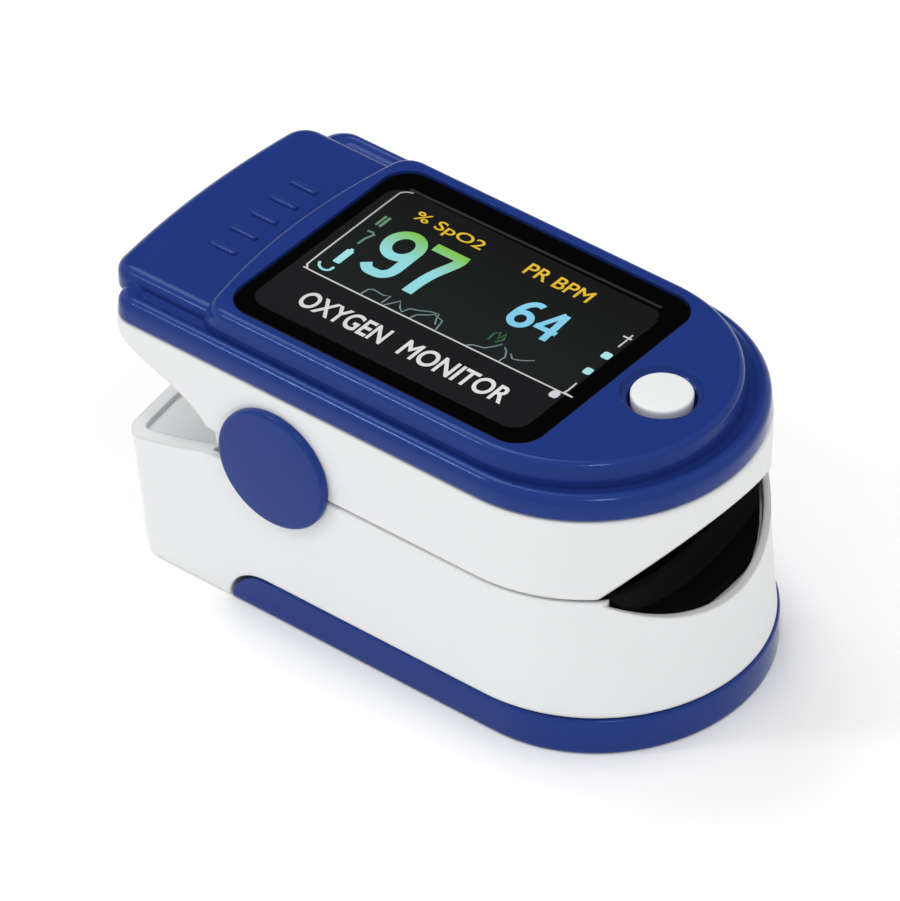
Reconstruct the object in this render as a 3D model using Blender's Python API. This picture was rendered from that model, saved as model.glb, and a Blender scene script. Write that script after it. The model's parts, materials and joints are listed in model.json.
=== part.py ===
"""Fingertip pulse oximeter, built as separate sub-parts.

All sizes are in millimetres and become metres when a mesh is made. +X points to the
finger mouth, +Z is up and the base stands on z = 0. Both jaws meet on the hinge axis,
which runs along Y through HINGE.
"""

import math

import bmesh
import bpy
from mathutils import Vector

MM = 0.001

# ---------------------------------------------------------------- driving sizes
HINGE_X = -8.6
HINGE_Z = 17.7
GAP = 0.3                      # between neighbouring pieces
NOSE_STEPS = 28                # segments round the nose of an outline
CORNER_STEPS = 5
REAR_STEPS = 10
ROUND = 32                     # segments of a full circle

PAST_SIDE = 20.0               # cutters that go right through end at these places
PAST_NOSE = 40.0
PAST_TAIL = -34.0
PAST_TOP = 32.0
UNDER_COVER = 20.0

SEAM_Z = 16.6                  # underside of the upper frame
RIM_Z = 16.3                   # top of the lower shell
SKIRT_Z = 25.4                 # underside of the top cover
PAD_Z = 28.5                   # thumb pad
PLATEAU_Z = 29.7               # face round the display
COVER_Z = 3.8                  # top of the battery cover

SKIRT = dict(front=29.15, nose=15.6, half=16.1, rear=-28.8, bow=90.0, corner=2.4)
PAD_TIER = dict(front=18.0, nose=12.0, half=13.5, rear=-30.5, bow=90.0, corner=2.4)
PLATEAU = dict(front=26.9, nose=14.6, half=14.5, rear=-19.9, bow=60.0, corner=2.6)
UPPER = dict(front=29.2, nose=15.7, half=16.0, rear=-28.7, bow=90.0, corner=2.4)
COVER = dict(front=30.5, nose=14.8, half=16.0, rear=-20.0, bow=200.0, corner=1.0)
LOWER_FRONT = 29.3             # nose of the lower shell at the seam
LOWER_NOSE = 15.75
LOWER_HALF = 16.0
LOWER_FLARE = 1.3              # how far the nose flares at the battery cover
LOWER_REAR = -27.8
LOWER_TOE = 1.5                # height of the rounding under the tail
LOWER_TAPER = 1.75             # how far the tail leans in towards its foot

WINDOW = dict(x0=-17.45, x1=16.15, half=12.85, radius=2.9)
WINDOW_FLOOR = 28.65
PANEL = dict(x0=-15.1, x1=14.0, y0=-5.6, y1=10.6)

BUTTON_X = 20.45
BUTTON_Y = 1.1
BUTTON_R = 2.78
BUTTON_TOP = 29.75
DISH_R = 3.73
DISH_DEPTH = 0.65
BUTTON_TRAVEL = 0.5

ROOF_R = 17.4                  # arc of the finger roof
ROOF_CENTRE_Z = 4.25
MOUTH_R = 15.6                 # arc of the upper lip
MOUTH_CENTRE_Z = 6.9
FLOOR_R = 20.4                 # arc of the lower lip
FLOOR_CENTRE_Z = 32.7
PAD_R = 28.0                   # flatter arc of the finger rest over the cells
PAD_CENTRE_Z = 40.9
CHANNEL_REAR = -2.3
REST_FRONT = 23.2              # where the finger rest drops to the mouth
LIP = 0.6                      # thickness of the lower shell at the mouth
ROOF_LIP = 0.8                 # thickness of the upper frame at the mouth
PAD_WALL = 1.2                 # recess of the shells behind the silicone
WALL = 1.9                     # thickness of the upper shells

CAP_R = 6.0                    # round cap over the hinge
CAP_BOSS_R = 1.9
EAR_IN = 13.35                 # hinge ears of the upper frame, across the object
EAR_OUT = 15.05
EAR_R = 6.1
EAR_REACH = 7.85               # heel of an ear
BRACKET_R = 3.2                # brackets of the lower shell round the pin
PIN_R = 1.0
COIL_R = 2.1                   # torsion spring
BOSS_R = 2.1                   # screw boss
SCREW_R = 0.9
SCREW_HEAD_R = 1.6
SCREW_STEPS = 20

CELL_R = 5.25
CELL_Y = 5.5
CELL_Z = 6.75
CELL_LENGTH = 44.5
BAY_HALF = 11.2                # half width of the battery bay
BAY_REAR = -25.0
BAY_FRONT = 21.9
TRAY_HALF = 13.0

SENSOR_X = 14.0                # emitter and sensor face each other here
RIB_PITCH = 2.8                # grip ribs on the thumb pad
RIB_REAR = -24.4
RIB_FRONT = -21.5
RIB_HALF = 0.35

EYE_HALF = 1.9                 # opening of the shells in front of each
GLASS_X = 2.5                  # half sizes of their clear windows
GLASS_Y = 2.2
BOARD_Z = 25.15                # underside of the main board
BOARD_TOP = 25.95
SWITCH_HALF = 2.6
SWITCH_TOP = 27.2              # plunger under the button

# Underside of the rear of the upper frame, seen from the side
V_EDGE = [(-16.55, 18.2), (-16.8, 18.6), (-17.3, 19.1), (-18.2, 19.8), (-20.15, 20.95),
          (-22.2, 21.8), (-24.3, 22.7), (-26.0, 23.7), (-27.4, 24.5), (PAST_TAIL, 24.7)]
# Top edge of the lower shell, seen from the side
RIM_EDGE = [(PAST_TAIL, 12.5), (-25.4, 12.9), (-24.3, 13.0), (-20.5, 14.0), (-17.4, 15.0),
            (-15.3, 15.35), (-12.0, 15.65), (-8.6, 15.95), (-2.9, RIM_Z), (PAST_NOSE, RIM_Z)]
# Rear end of the battery cover, seen from the side
COVER_END = [(-13.9, -1.0), (-13.85, 0.6), (-13.6, 1.4), (-13.1, 2.2), (-12.2, 3.0),
             (-11.0, 3.55), (-9.2, COVER_Z), (-8.0, 6.0)]
# The notch that the battery cover leaves in the lower shell
NOTCH = [(-14.3, -1.0), (-14.2, 0.6), (-13.95, 1.6), (-13.35, 2.55), (-12.4, 3.35),
         (-11.1, 3.87), (-9.2, COVER_Z + GAP), (PAST_NOSE, COVER_Z + GAP), (PAST_NOSE, -1.0)]


# ---------------------------------------------------------------- scene helpers
def clear_scene():
    """Remove every object of the start-up scene."""
    for item in list(bpy.data.objects):
        bpy.data.objects.remove(item, do_unlink=True)


def plastic(name, colour, roughness, metallic=0.0):
    """A Principled material with one colour."""
    material = bpy.data.materials.new(name)
    material.use_nodes = True
    shader = material.node_tree.nodes["Principled BSDF"]
    shader.inputs["Base Color"].default_value = (*colour, 1.0)
    shader.inputs["Roughness"].default_value = roughness
    shader.inputs["Metallic"].default_value = metallic
    material.diffuse_color = (*colour, 1.0)
    return material


def add_empty(name, location):
    """A parent that carries a moving group on its joint."""
    empty = bpy.data.objects.new(name, None)
    empty.location = Vector(location) * MM
    bpy.context.scene.collection.objects.link(empty)
    return empty


def solid(name, loops, material=None, parent=None, pivot=(0.0, 0.0, 0.0)):
    """A closed solid through equal loops of points, capped at both ends."""
    mesh = bpy.data.meshes.new(name)
    maker = bmesh.new()
    origin = Vector(pivot)
    rings = [[maker.verts.new((Vector(p) - origin) * MM) for p in loop] for loop in loops]
    count = len(rings[0])
    for low, high in zip(rings, rings[1:]):
        for i in range(count):
            j = (i + 1) % count
            maker.faces.new((low[i], low[j], high[j], high[i]))
    maker.faces.new(list(reversed(rings[0])))
    maker.faces.new(rings[-1])
    bmesh.ops.recalc_face_normals(maker, faces=maker.faces)
    maker.to_mesh(mesh)
    maker.free()
    mesh.shade_smooth()
    mesh.set_sharp_from_angle(angle=math.radians(32))
    item = bpy.data.objects.new(name, mesh)
    bpy.context.scene.collection.objects.link(item)
    base = Vector((0.0, 0.0, 0.0))
    if parent is not None:
        item.parent = parent
        base = parent.location
    item.location = origin * MM - base
    if material is not None:
        mesh.materials.append(material)
    return item


def helper(name, loops):
    """A cutting or joining tool that isn't part of the object."""
    item = solid("tool_" + name, loops)
    item.hide_render = True
    item.display_type = 'WIRE'
    return item


def combine(target, tool, operation='DIFFERENCE'):
    """Add one exact Boolean to the target."""
    step = target.modifiers.new(tool.name, 'BOOLEAN')
    step.operation = operation
    step.solver = 'EXACT'
    step.object = tool
    return step


def cut(target, name, loops):
    """Cut a solid made from loops out of the target."""
    combine(target, helper(name, loops), 'DIFFERENCE')


def join(target, name, loops):
    """Add a solid made from loops to the target."""
    combine(target, helper(name, loops), 'UNION')


# ---------------------------------------------------------------- outlines
def plan(front, nose, half, rear, bow, corner, inset=0.0, rear_inset=None):
    """Top view: half-ellipse nose, straight sides, bowed rear edge, round corners."""
    back = rear + (inset if rear_inset is None else rear_inset)
    centre = front - nose
    long_axis = nose - inset
    side = half - inset
    turn = max(corner - inset, 0.5)
    bow_x = back + bow
    turn_x = bow_x - math.sqrt((bow - turn) ** 2 - (side - turn) ** 2)
    sweep = math.atan2(side - turn, turn_x - bow_x)
    points = []
    for i in range(NOSE_STEPS + 1):
        angle = math.pi * (i / NOSE_STEPS - 0.5)
        points.append((centre + long_axis * math.cos(angle), side * math.sin(angle)))
    for i in range(CORNER_STEPS + 1):
        angle = math.pi / 2 + (sweep - math.pi / 2) * i / CORNER_STEPS
        points.append((turn_x + turn * math.cos(angle), side - turn + turn * math.sin(angle)))
    for i in range(1, REAR_STEPS):
        angle = sweep + 2 * (math.pi - sweep) * i / REAR_STEPS
        points.append((bow_x + bow * math.cos(angle), bow * math.sin(angle)))
    mirrored = [(x, -y) for x, y in reversed(points[NOSE_STEPS + 1:NOSE_STEPS + 2 + CORNER_STEPS])]
    return points + mirrored


def layers(shape, steps):
    """Stack one outline at several heights: steps are (z, inset) or (z, inset, rear inset)."""
    return [[(x, y, step[0]) for x, y in plan(**shape, inset=step[1], rear_inset=step[-1])]
            if len(step) == 3 else
            [(x, y, step[0]) for x, y in plan(**shape, inset=step[1])]
            for step in steps]


def upright(outline, z0, z1):
    """Loops of an XY outline between two heights."""
    return [[(x, y, z) for x, y in outline] for z in (z0, z1)]


def sideways(profile, y0, y1):
    """Loops of an XZ profile between two places across the object."""
    return [[(x, y, z) for x, z in profile] for y in (y0, y1)]


def lengthways(profile, x0, x1):
    """Loops of a YZ profile between two places along the object."""
    return [[(x, y, z) for y, z in profile] for x in (x0, x1)]


def box(x0, x1, y0, y1, z0, z1):
    """Loops of a plain block."""
    return upright([(x0, y0), (x1, y0), (x1, y1), (x0, y1)], z0, z1)


def rounded_box(x0, x1, y0, y1, radius, steps):
    """Stacked rounded rectangles: steps are (z, inset)."""
    loops = []
    for z, inset in steps:
        turn = radius - inset
        loop = []
        for cx, cy, start in ((x1, y1, 0), (x0, y1, 90), (x0, y0, 180), (x1, y0, 270)):
            px = cx - radius if cx == x1 else cx + radius
            py = cy - radius if cy == y1 else cy + radius
            for i in range(CORNER_STEPS + 1):
                angle = math.radians(start + 90 * i / CORNER_STEPS)
                loop.append((px + turn * math.cos(angle), py + turn * math.sin(angle), z))
        loops.append(loop)
    return loops


def post(x, y, steps, count=ROUND):
    """An upright round solid: steps are (z, radius)."""
    return [[(x + r * math.cos(2 * math.pi * i / count), y + r * math.sin(2 * math.pi * i / count), z)
             for i in range(count)] for z, r in steps]


def axle(x, z, steps, count=ROUND):
    """A round solid along Y: steps are (y, radius)."""
    return [[(x + r * math.cos(2 * math.pi * i / count), y, z + r * math.sin(2 * math.pi * i / count))
             for i in range(count)] for y, r in steps]


def barrel(y, z, steps, count=ROUND):
    """A round solid along X: steps are (x, radius)."""
    return [[(x, y + r * math.cos(2 * math.pi * i / count), z + r * math.sin(2 * math.pi * i / count))
             for i in range(count)] for x, r in steps]


def arc_points(centre_z, radius, half, upward, count=20):
    """An arc across the object from -half to half, over or under its centre."""
    sign = 1.0 if upward else -1.0
    limit = math.asin(min(half / radius, 1.0))
    angles = [limit * (2 * i / count - 1) for i in range(count + 1)]
    return [(radius * math.sin(a), centre_z + sign * radius * math.cos(a)) for a in angles]


def sector(radius, first, last, count=8):
    """A pie piece about the hinge, seen from the side, between two angles in degrees."""
    points = [(HINGE_X, HINGE_Z)]
    for i in range(count + 1):
        angle = math.radians(first + (last - first) * i / count)
        points.append((HINGE_X + radius * math.cos(angle), HINGE_Z + radius * math.sin(angle)))
    return points


def tube(name, points, radius, material, parent=None, sides=2):
    """A round wire through points."""
    curve = bpy.data.curves.new(name, 'CURVE')
    curve.dimensions = '3D'
    curve.bevel_depth = radius * MM
    curve.bevel_resolution = sides
    curve.use_fill_caps = True
    spline = curve.splines.new('POLY')
    spline.points.add(len(points) - 1)
    for slot, point in zip(spline.points, points):
        slot.co = (*(Vector(point) * MM), 1.0)
    curve.materials.append(material)
    item = bpy.data.objects.new(name, curve)
    bpy.context.scene.collection.objects.link(item)
    if parent is not None:
        item.parent = parent
        item.location = -parent.location
    return item


def both_sides(low, high):
    """The same stretch of Y on the right and on the left."""
    return (("right", -high, -low), ("left", low, high))


# ---------------------------------------------------------------- upper jaw
def make_top_cover(material, parent):
    """Blue cover: skirt, thumb pad, plateau with the display window and button dish."""
    cover = solid("top_cover", layers(SKIRT, [
        (SKIRT_Z, 0.15), (SKIRT_Z + 0.15, 0.0), (26.9, 0.08, 0.2), (27.4, 0.35, 0.8),
        (27.65, 0.8, 1.4), (27.7, 1.3, 1.9)]), material, parent, (HINGE_X, 0.0, HINGE_Z))
    join(cover, "pad_tier", layers(PAD_TIER, [
        (26.0, 0.1), (26.4, 0.0), (27.6, 0.0), (28.1, 0.2), (28.4, 0.6), (PAD_Z, 1.1)]))
    join(cover, "plateau", layers(PLATEAU, [
        (26.5, 0.0, -0.6), (28.0, 0.0, -0.6), (28.5, 0.12, -0.1), (29.3, 0.3, 0.3),
        (29.6, 0.6, 0.6), (PLATEAU_Z, 1.0, 0.9)]))
    for index in range(5):
        y = RIB_PITCH * (index - 2)
        join(cover, f"grip_rib_{index}", rounded_box(
            RIB_REAR, RIB_FRONT, y - RIB_HALF, y + RIB_HALF, RIB_HALF - 0.01,
            [(28.0, 0.0), (28.7, 0.0), (28.82, 0.12)]))
    cut(cover, "skirt_hollow", layers(SKIRT, [(UNDER_COVER, 1.7), (26.9, 1.7, 2.6)]))
    cut(cover, "plateau_hollow", layers(PLATEAU, [(UNDER_COVER, WALL), (27.9, WALL)]))
    for x, y in screw_places():
        join(cover, f"boss_{x}_{y}", post(x, y, [(SKIRT_Z + 0.1, BOSS_R), (27.4, BOSS_R)],
                                          SCREW_STEPS))
        hole = SCREW_R + GAP
        cut(cover, f"boss_hole_{x}_{y}", post(x, y, [(UNDER_COVER, hole), (27.1, hole)],
                                              SCREW_STEPS))
    window = (WINDOW["x0"], WINDOW["x1"], -WINDOW["half"], WINDOW["half"])
    cut(cover, "window", rounded_box(*window, WINDOW["radius"],
                                     [(WINDOW_FLOOR, 0.0), (PAST_TOP, 0.0)]))
    cut(cover, "panel_opening", box(PANEL["x0"] - GAP, PANEL["x1"] + GAP,
                                    PANEL["y0"] - GAP, PANEL["y1"] + GAP,
                                    UNDER_COVER, PAST_TOP))
    dish_floor = PLATEAU_Z - DISH_DEPTH
    cut(cover, "button_dish", post(BUTTON_X, BUTTON_Y, [
        (UNDER_COVER, BUTTON_R + GAP), (dish_floor - 0.1, BUTTON_R + GAP),
        (dish_floor, BUTTON_R + 0.35), (PLATEAU_Z, DISH_R), (PAST_TOP, DISH_R + 0.4)]))
    return cover


def screw_places():
    """Where the four screws of the upper jaw stand, front pair first."""
    return [(19.5, -9.5), (19.5, 9.5), (-22.0, -10.0), (-22.0, 10.0)]


def make_upper_frame(material, parent):
    """White band between the cover and the seam, with the finger roof and hinge ears."""
    draft = 0.12
    steps = [(SEAM_Z, draft + 0.2), (SEAM_Z + 0.2, draft), (SKIRT_Z - 0.7, 0.0),
             (SKIRT_Z - GAP, 0.2)]
    frame = solid("upper_frame", layers(UPPER, steps), material, parent, (HINGE_X, 0.0, HINGE_Z))
    rear = V_EDGE + [(PAST_TAIL, 10.0), (HINGE_X, 10.0), (HINGE_X, HINGE_Z + 0.05)]
    cut(frame, "squeeze_gap", sideways(rear, -PAST_SIDE, PAST_SIDE))
    cut(frame, "electronics_bay", [
        [(max(x, -23.0), y, z) for x, y in plan(**UPPER, inset=WALL)] for z in (23.7, PAST_TOP)])
    seat = arc_points(ROOF_CENTRE_Z, ROOF_R + PAD_WALL, 15.0, True)
    roof = helper("roof_seat", lengthways(seat, CHANNEL_REAR, PAST_NOSE))
    combine(roof, helper("roof_limit", layers(UPPER, [(5.0, ROOF_LIP), (24.0, ROOF_LIP)])),
            'INTERSECT')
    combine(frame, roof)
    mouth = arc_points(MOUTH_CENTRE_Z, MOUTH_R, 14.0, True)
    cut(frame, "mouth_roof", lengthways(mouth, 15.0, PAST_NOSE))
    cut(frame, "hinge_tunnel", axle(HINGE_X, HINGE_Z, [(-13.05, 5.0), (13.05, 5.0)]))
    for side, y0, y1 in both_sides(EAR_IN, EAR_OUT):
        join(frame, f"ear_{side}", axle(HINGE_X, HINGE_Z, [(y0, EAR_R), (y1, EAR_R)]))
        join(frame, f"ear_heel_{side}", sideways(sector(EAR_REACH, 174.0, 197.0), y0, y1))
    bore = PIN_R + GAP
    cut(frame, "pin_bore", axle(HINGE_X, HINGE_Z, [(-PAST_SIDE, bore), (PAST_SIDE, bore)]))
    for side, y0, y1 in both_sides(EAR_OUT, PAST_SIDE):
        bore = CAP_BOSS_R + GAP
        cut(frame, f"cap_bore_{side}", axle(HINGE_X, HINGE_Z, [(y0, bore), (y1, bore)]))
    cut(frame, "flex_slot", box(-6.6, -4.6, -2.3, 2.3, 20.0, 25.0))
    cut(frame, "emitter_hole", box(SENSOR_X - EYE_HALF, SENSOR_X + EYE_HALF,
                                   -EYE_HALF, EYE_HALF, 20.0, 25.0))
    for x, y in screw_places():
        seat_z = 22.4 if x > 0 else 23.0
        hole = SCREW_R + GAP
        sink = SCREW_HEAD_R + 0.4
        cut(frame, f"screw_{x}_{y}", post(x, y, [(15.0, hole), (26.0, hole)], SCREW_STEPS))
        cut(frame, f"screw_head_{x}_{y}", post(x, y, [(15.0, sink), (seat_z, sink)], SCREW_STEPS))
    return frame


def nose_half(x, front, nose, half):
    """Half width of a nose at one place along the object."""
    centre = front - nose
    if x <= centre:
        return half
    return half * math.sqrt(max(1.0 - ((x - centre) / nose) ** 2, 0.0))


def make_upper_pad(material, parent):
    """Black silicone roof of the finger channel, closed at the rear."""
    edge_z = SEAM_Z + GAP
    stations = [(CHANNEL_REAR + GAP, 0.0), (CHANNEL_REAR + 1.3, 0.0), (CHANNEL_REAR + 1.5, 1.0)]
    stations += [(x, 1.0) for x in (4.0, 10.0, 16.0, 20.0, 22.5, 24.2, 25.4, 26.4, 27.2, 27.6)]
    outer = ROOF_R + 0.9
    inner = ROOF_R - 0.2
    inset = ROOF_LIP + GAP
    loops = []
    for x, is_open in stations:
        limit = nose_half(x, UPPER["front"] - inset, UPPER["nose"] - inset, UPPER["half"] - inset)
        outer_half = min(math.sqrt(outer ** 2 - (edge_z - ROOF_CENTRE_Z) ** 2), limit)
        inner_half = min(math.sqrt(inner ** 2 - (edge_z - ROOF_CENTRE_Z) ** 2), limit - 0.9)
        top = arc_points(ROOF_CENTRE_Z, outer, outer_half, True)
        under = arc_points(ROOF_CENTRE_Z, inner, inner_half, True)
        if not is_open:
            under = [(y, edge_z) for y, _ in under]
        loops.append([(x, y, z) for y, z in top + under[::-1]])
    pad = solid("upper_finger_pad", loops, material, parent, (HINGE_X, 0.0, HINGE_Z))
    cut(pad, "emitter_window_hole", rounded_box(
        SENSOR_X - GLASS_X - GAP, SENSOR_X + GLASS_X + GAP, -GLASS_Y - GAP, GLASS_Y + GAP,
        1.0, [(20.0, 0.0), (24.0, 0.0)]))
    return pad


def make_display(lens_material, panel_material, parent):
    """Tinted window and the display panel behind it."""
    window = (WINDOW["x0"] + 0.15, WINDOW["x1"] - 0.15,
              -WINDOW["half"] + 0.15, WINDOW["half"] - 0.15)
    solid("display_lens", rounded_box(*window, WINDOW["radius"] - 0.15, [
        (WINDOW_FLOOR + 0.1, 0.0), (PLATEAU_Z - 0.27, 0.0), (PLATEAU_Z - 0.15, 0.12)]),
        lens_material, parent, (HINGE_X, 0.0, HINGE_Z))
    solid("display_panel", box(PANEL["x0"], PANEL["x1"], PANEL["y0"], PANEL["y1"], 27.0, 28.4),
          panel_material, parent, (HINGE_X, 0.0, HINGE_Z))
    edge = 1.2
    frame = solid("display_carrier", box(
        PANEL["x0"] - edge, PANEL["x1"] + edge, PANEL["y0"] - edge, PANEL["y1"] + edge,
        26.35, 27.6), panel_material, parent, (HINGE_X, 0.0, HINGE_Z))
    cut(frame, "carrier_seat", box(PANEL["x0"] - 0.2, PANEL["x1"] + 0.2,
                                   PANEL["y0"] - 0.2, PANEL["y1"] + 0.2, 26.8, 30.0))


def make_upper_electronics(board_material, chip_material, metal, parent):
    """Main board with its chip, sounder and tact switch."""
    origin = (HINGE_X, 0.0, HINGE_Z)
    outline = [(-16.5, -12.0), (15.5, -12.0), (17.0, -4.5), (24.5, -4.5), (24.5, 4.5),
               (17.0, 4.5), (15.5, 12.0), (-16.5, 12.0)]
    solid("main_board", upright(outline, BOARD_Z, BOARD_TOP), board_material, parent, origin)
    solid("controller_chip", box(-2.0, 5.0, -3.5, 3.5, 24.1, BOARD_Z - 0.1), chip_material,
          parent, origin)
    solid("sounder", post(9.5, 7.0, [(23.95, 3.4), (24.1, 3.6), (BOARD_Z - 0.1, 3.6)], 24),
          chip_material, parent, origin)
    half = SWITCH_HALF
    switch = solid("tact_switch", box(BUTTON_X - half, BUTTON_X + half,
                                      BUTTON_Y - half, BUTTON_Y + half,
                                      BOARD_TOP + 0.1, SWITCH_TOP - 0.4),
                   metal, parent, origin)
    join(switch, "switch_plunger", post(BUTTON_X, BUTTON_Y, [
        (SWITCH_TOP - 0.6, 1.1), (SWITCH_TOP, 1.1)], SCREW_STEPS))


def make_power_button(material, parent):
    """Round white button: crowned cap, collar under the cover and a stem."""
    anchor = add_empty("button_slide", (BUTTON_X, BUTTON_Y, BUTTON_TOP))
    anchor.parent = parent
    anchor.location = anchor.location - parent.location
    foot = SWITCH_TOP + BUTTON_TRAVEL + GAP
    steps = [(foot, 1.2), (foot + 0.05, BUTTON_R - 0.1), (BUTTON_TOP - 0.75, BUTTON_R),
             (BUTTON_TOP - 0.35, BUTTON_R - 0.06), (BUTTON_TOP - 0.12, BUTTON_R - 0.24),
             (BUTTON_TOP - 0.03, BUTTON_R - 0.5), (BUTTON_TOP, BUTTON_R - 1.0)]
    button = solid("power_button", post(0.0, 0.0, [(z - BUTTON_TOP, r) for z, r in steps], 40),
                   material)
    button.parent = anchor
    return button


def make_emitter(board_material, led_material, clear_material, parent):
    """Light source over the finger with its clear window."""
    origin = (HINGE_X, 0.0, HINGE_Z)
    solid("emitter_board", box(SENSOR_X - 3.4, SENSOR_X + 3.4, -3.0, 3.0, 23.95, 24.55),
          board_material, parent, origin)
    solid("emitter_led", box(SENSOR_X - 1.5, SENSOR_X + 1.5, -1.5, 1.5, 22.75, 23.85),
          led_material, parent, origin)
    solid("emitter_window", rounded_box(SENSOR_X - GLASS_X, SENSOR_X + GLASS_X, -GLASS_Y, GLASS_Y,
                                        0.8, [(21.3, 0.15), (21.45, 0.0), (22.45, 0.0)]),
          clear_material, parent, origin)


def make_upper_screws(material, parent):
    """Four screws from the upper frame into the bosses of the top cover."""
    names = ("screw_front_right", "screw_front_left", "screw_rear_right", "screw_rear_left")
    for name, (x, y) in zip(names, screw_places()):
        head = 22.2 if x > 0 else 22.8
        steps = [(head - 0.9, 1.2), (head - 0.7, SCREW_HEAD_R), (head, SCREW_HEAD_R),
                 (head + 0.02, SCREW_R), (26.5, SCREW_R), (26.8, 0.5)]
        screw = solid(name, post(x, y, steps, SCREW_STEPS), material, parent,
                      (HINGE_X, 0.0, HINGE_Z))
        for turn, (dx, dy) in enumerate(((1.0, 0.2), (0.2, 1.0))):
            cut(screw, f"{name}_slot_{turn}", box(x - dx, x + dx, y - dy, y + dy,
                                                  head - 2.0, head - 0.5))


# ---------------------------------------------------------------- lower jaw
def lower_outline(z, inset):
    """Outline of the lower shell at one height: flared nose, tail that leans in."""
    down = (RIM_Z - z) / RIM_Z
    flare = LOWER_FLARE * max(down, 0.0) ** 1.5
    lean = LOWER_TAPER * max(1.0 - z / 13.5, 0.0) ** 0.7
    lean += 0.8 * max(1.0 - z / LOWER_TOE, 0.0) ** 2
    return plan(front=LOWER_FRONT + 1.25 * flare, nose=LOWER_NOSE - 0.4 * down, half=LOWER_HALF,
                rear=LOWER_REAR + lean, bow=90.0, corner=2.3, inset=inset)


def make_lower_shell(material):
    """White body: tail, hinge brackets, battery tray and finger rest."""
    steps = [(0.0, 0.45), (0.12, 0.2), (0.4, 0.05), (0.9, 0.0), (2.0, 0.0), (5.0, 0.0),
             (9.0, 0.0), (11.5, 0.0), (13.0, 0.0), (15.6, 0.0), (16.0, 0.04), (RIM_Z + 0.3, 0.5)]
    shell = solid("lower_shell", [[(x, y, z) for x, y in lower_outline(z, inset)]
                                  for z, inset in steps], material)
    cut(shell, "cover_notch", sideways(NOTCH, -PAST_SIDE, PAST_SIDE))
    tray = plan(front=25.4, nose=9.0, half=TRAY_HALF, rear=-18.0, bow=200.0, corner=1.0)
    join(shell, "battery_tray", upright(tray, 1.5, 9.0))
    for side, y0, y1 in both_sides(TRAY_HALF - 0.5, TRAY_HALF + 0.9):
        join(shell, f"cover_rail_{side}", box(-12.0, 14.0, y0, y1, 2.0, 2.7))
    top = RIM_EDGE + [(PAST_NOSE, PAST_TOP), (PAST_TAIL, PAST_TOP)]
    cut(shell, "rim", sideways(top, -PAST_SIDE, PAST_SIDE))
    tail = [(max(min(x, -3.0), -26.2), y) for x, y in lower_outline(14.0, 1.5)]
    cut(shell, "tail_recess", [[(x, y, z) for x, y in tail] for z in (13.0, 20.0)])
    cut(shell, "battery_bay", box(BAY_REAR, BAY_FRONT, -BAY_HALF, BAY_HALF, 1.2, 12.2))
    cut(shell, "battery_front", box(BAY_FRONT - 0.9, BAY_FRONT + 1.8,
                                      -10.5, 10.5, -1.0, 9.2))
    cut_finger_rest(shell)
    for side, y0, y1 in both_sides(11.4, 12.9):
        bracket = [(HINGE_X + BRACKET_R, 12.5)]
        bracket += [(HINGE_X + BRACKET_R * math.cos(math.pi * i / 12),
                     HINGE_Z + BRACKET_R * math.sin(math.pi * i / 12)) for i in range(13)]
        bracket.append((HINGE_X - BRACKET_R, 12.5))
        join(shell, f"bracket_{side}", sideways(bracket, y0, y1))
    for side, y0, y1 in both_sides(EAR_IN - GAP, EAR_OUT + GAP):
        cut(shell, f"ear_pocket_{side}", axle(HINGE_X, HINGE_Z, [
            (y0, EAR_R + GAP), (y1, EAR_R + GAP)]))
        cut(shell, f"heel_pocket_{side}", sideways(sector(EAR_REACH + GAP, 166.0, 222.0), y0, y1))
    bore = PIN_R + 0.15
    cut(shell, "pin_bore", axle(HINGE_X, HINGE_Z, [(-14.0, bore), (14.0, bore)]))
    for side, y0, y1 in both_sides(EAR_OUT, PAST_SIDE):
        bore = CAP_BOSS_R + GAP
        cut(shell, f"cap_notch_{side}", axle(HINGE_X, HINGE_Z, [(y0, bore), (y1, bore)]))
    cut(shell, "sensor_hole", box(SENSOR_X - EYE_HALF, SENSOR_X + EYE_HALF,
                                  -EYE_HALF, EYE_HALF, 12.0, 14.0))
    cut(shell, "flex_slot", box(-6.6, -4.6, -2.3, 2.3, 11.0, 14.0))
    return shell


def cut_finger_rest(shell):
    """Hollow of the lower finger pad: flat over the cells, deeper behind the mouth."""
    rest = arc_points(PAD_CENTRE_Z, PAD_R, 14.2, False)
    hollow = helper("finger_rest", lengthways(rest + [(14.2, 24.0), (-14.2, 24.0)],
                                              CHANNEL_REAR, REST_FRONT + 0.1))
    deep = arc_points(FLOOR_CENTRE_Z, FLOOR_R + PAD_WALL, 14.2, False)
    join(hollow, "finger_bowl", lengthways(deep + [(14.2, 23.0), (-14.2, 23.0)],
                                           REST_FRONT, PAST_NOSE))
    limit = [[(x, y, z) for x, y in lower_outline(RIM_Z, LIP)] for z in (5.0, 22.0)]
    combine(hollow, helper("rest_limit", limit), 'INTERSECT')
    combine(shell, hollow)
    mouth = arc_points(FLOOR_CENTRE_Z, FLOOR_R, 13.6, False)
    cut(shell, "mouth_floor", lengthways(mouth + [(13.6, 24.0), (-13.6, 24.0)],
                                         REST_FRONT + 1.0, PAST_NOSE))


def rest_drop(x):
    """0 over the cells, 1 behind the mouth, smooth between."""
    share = min(max((x - REST_FRONT - 0.4) / 1.6, 0.0), 1.0)
    return share * share * (3.0 - 2.0 * share)


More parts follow.
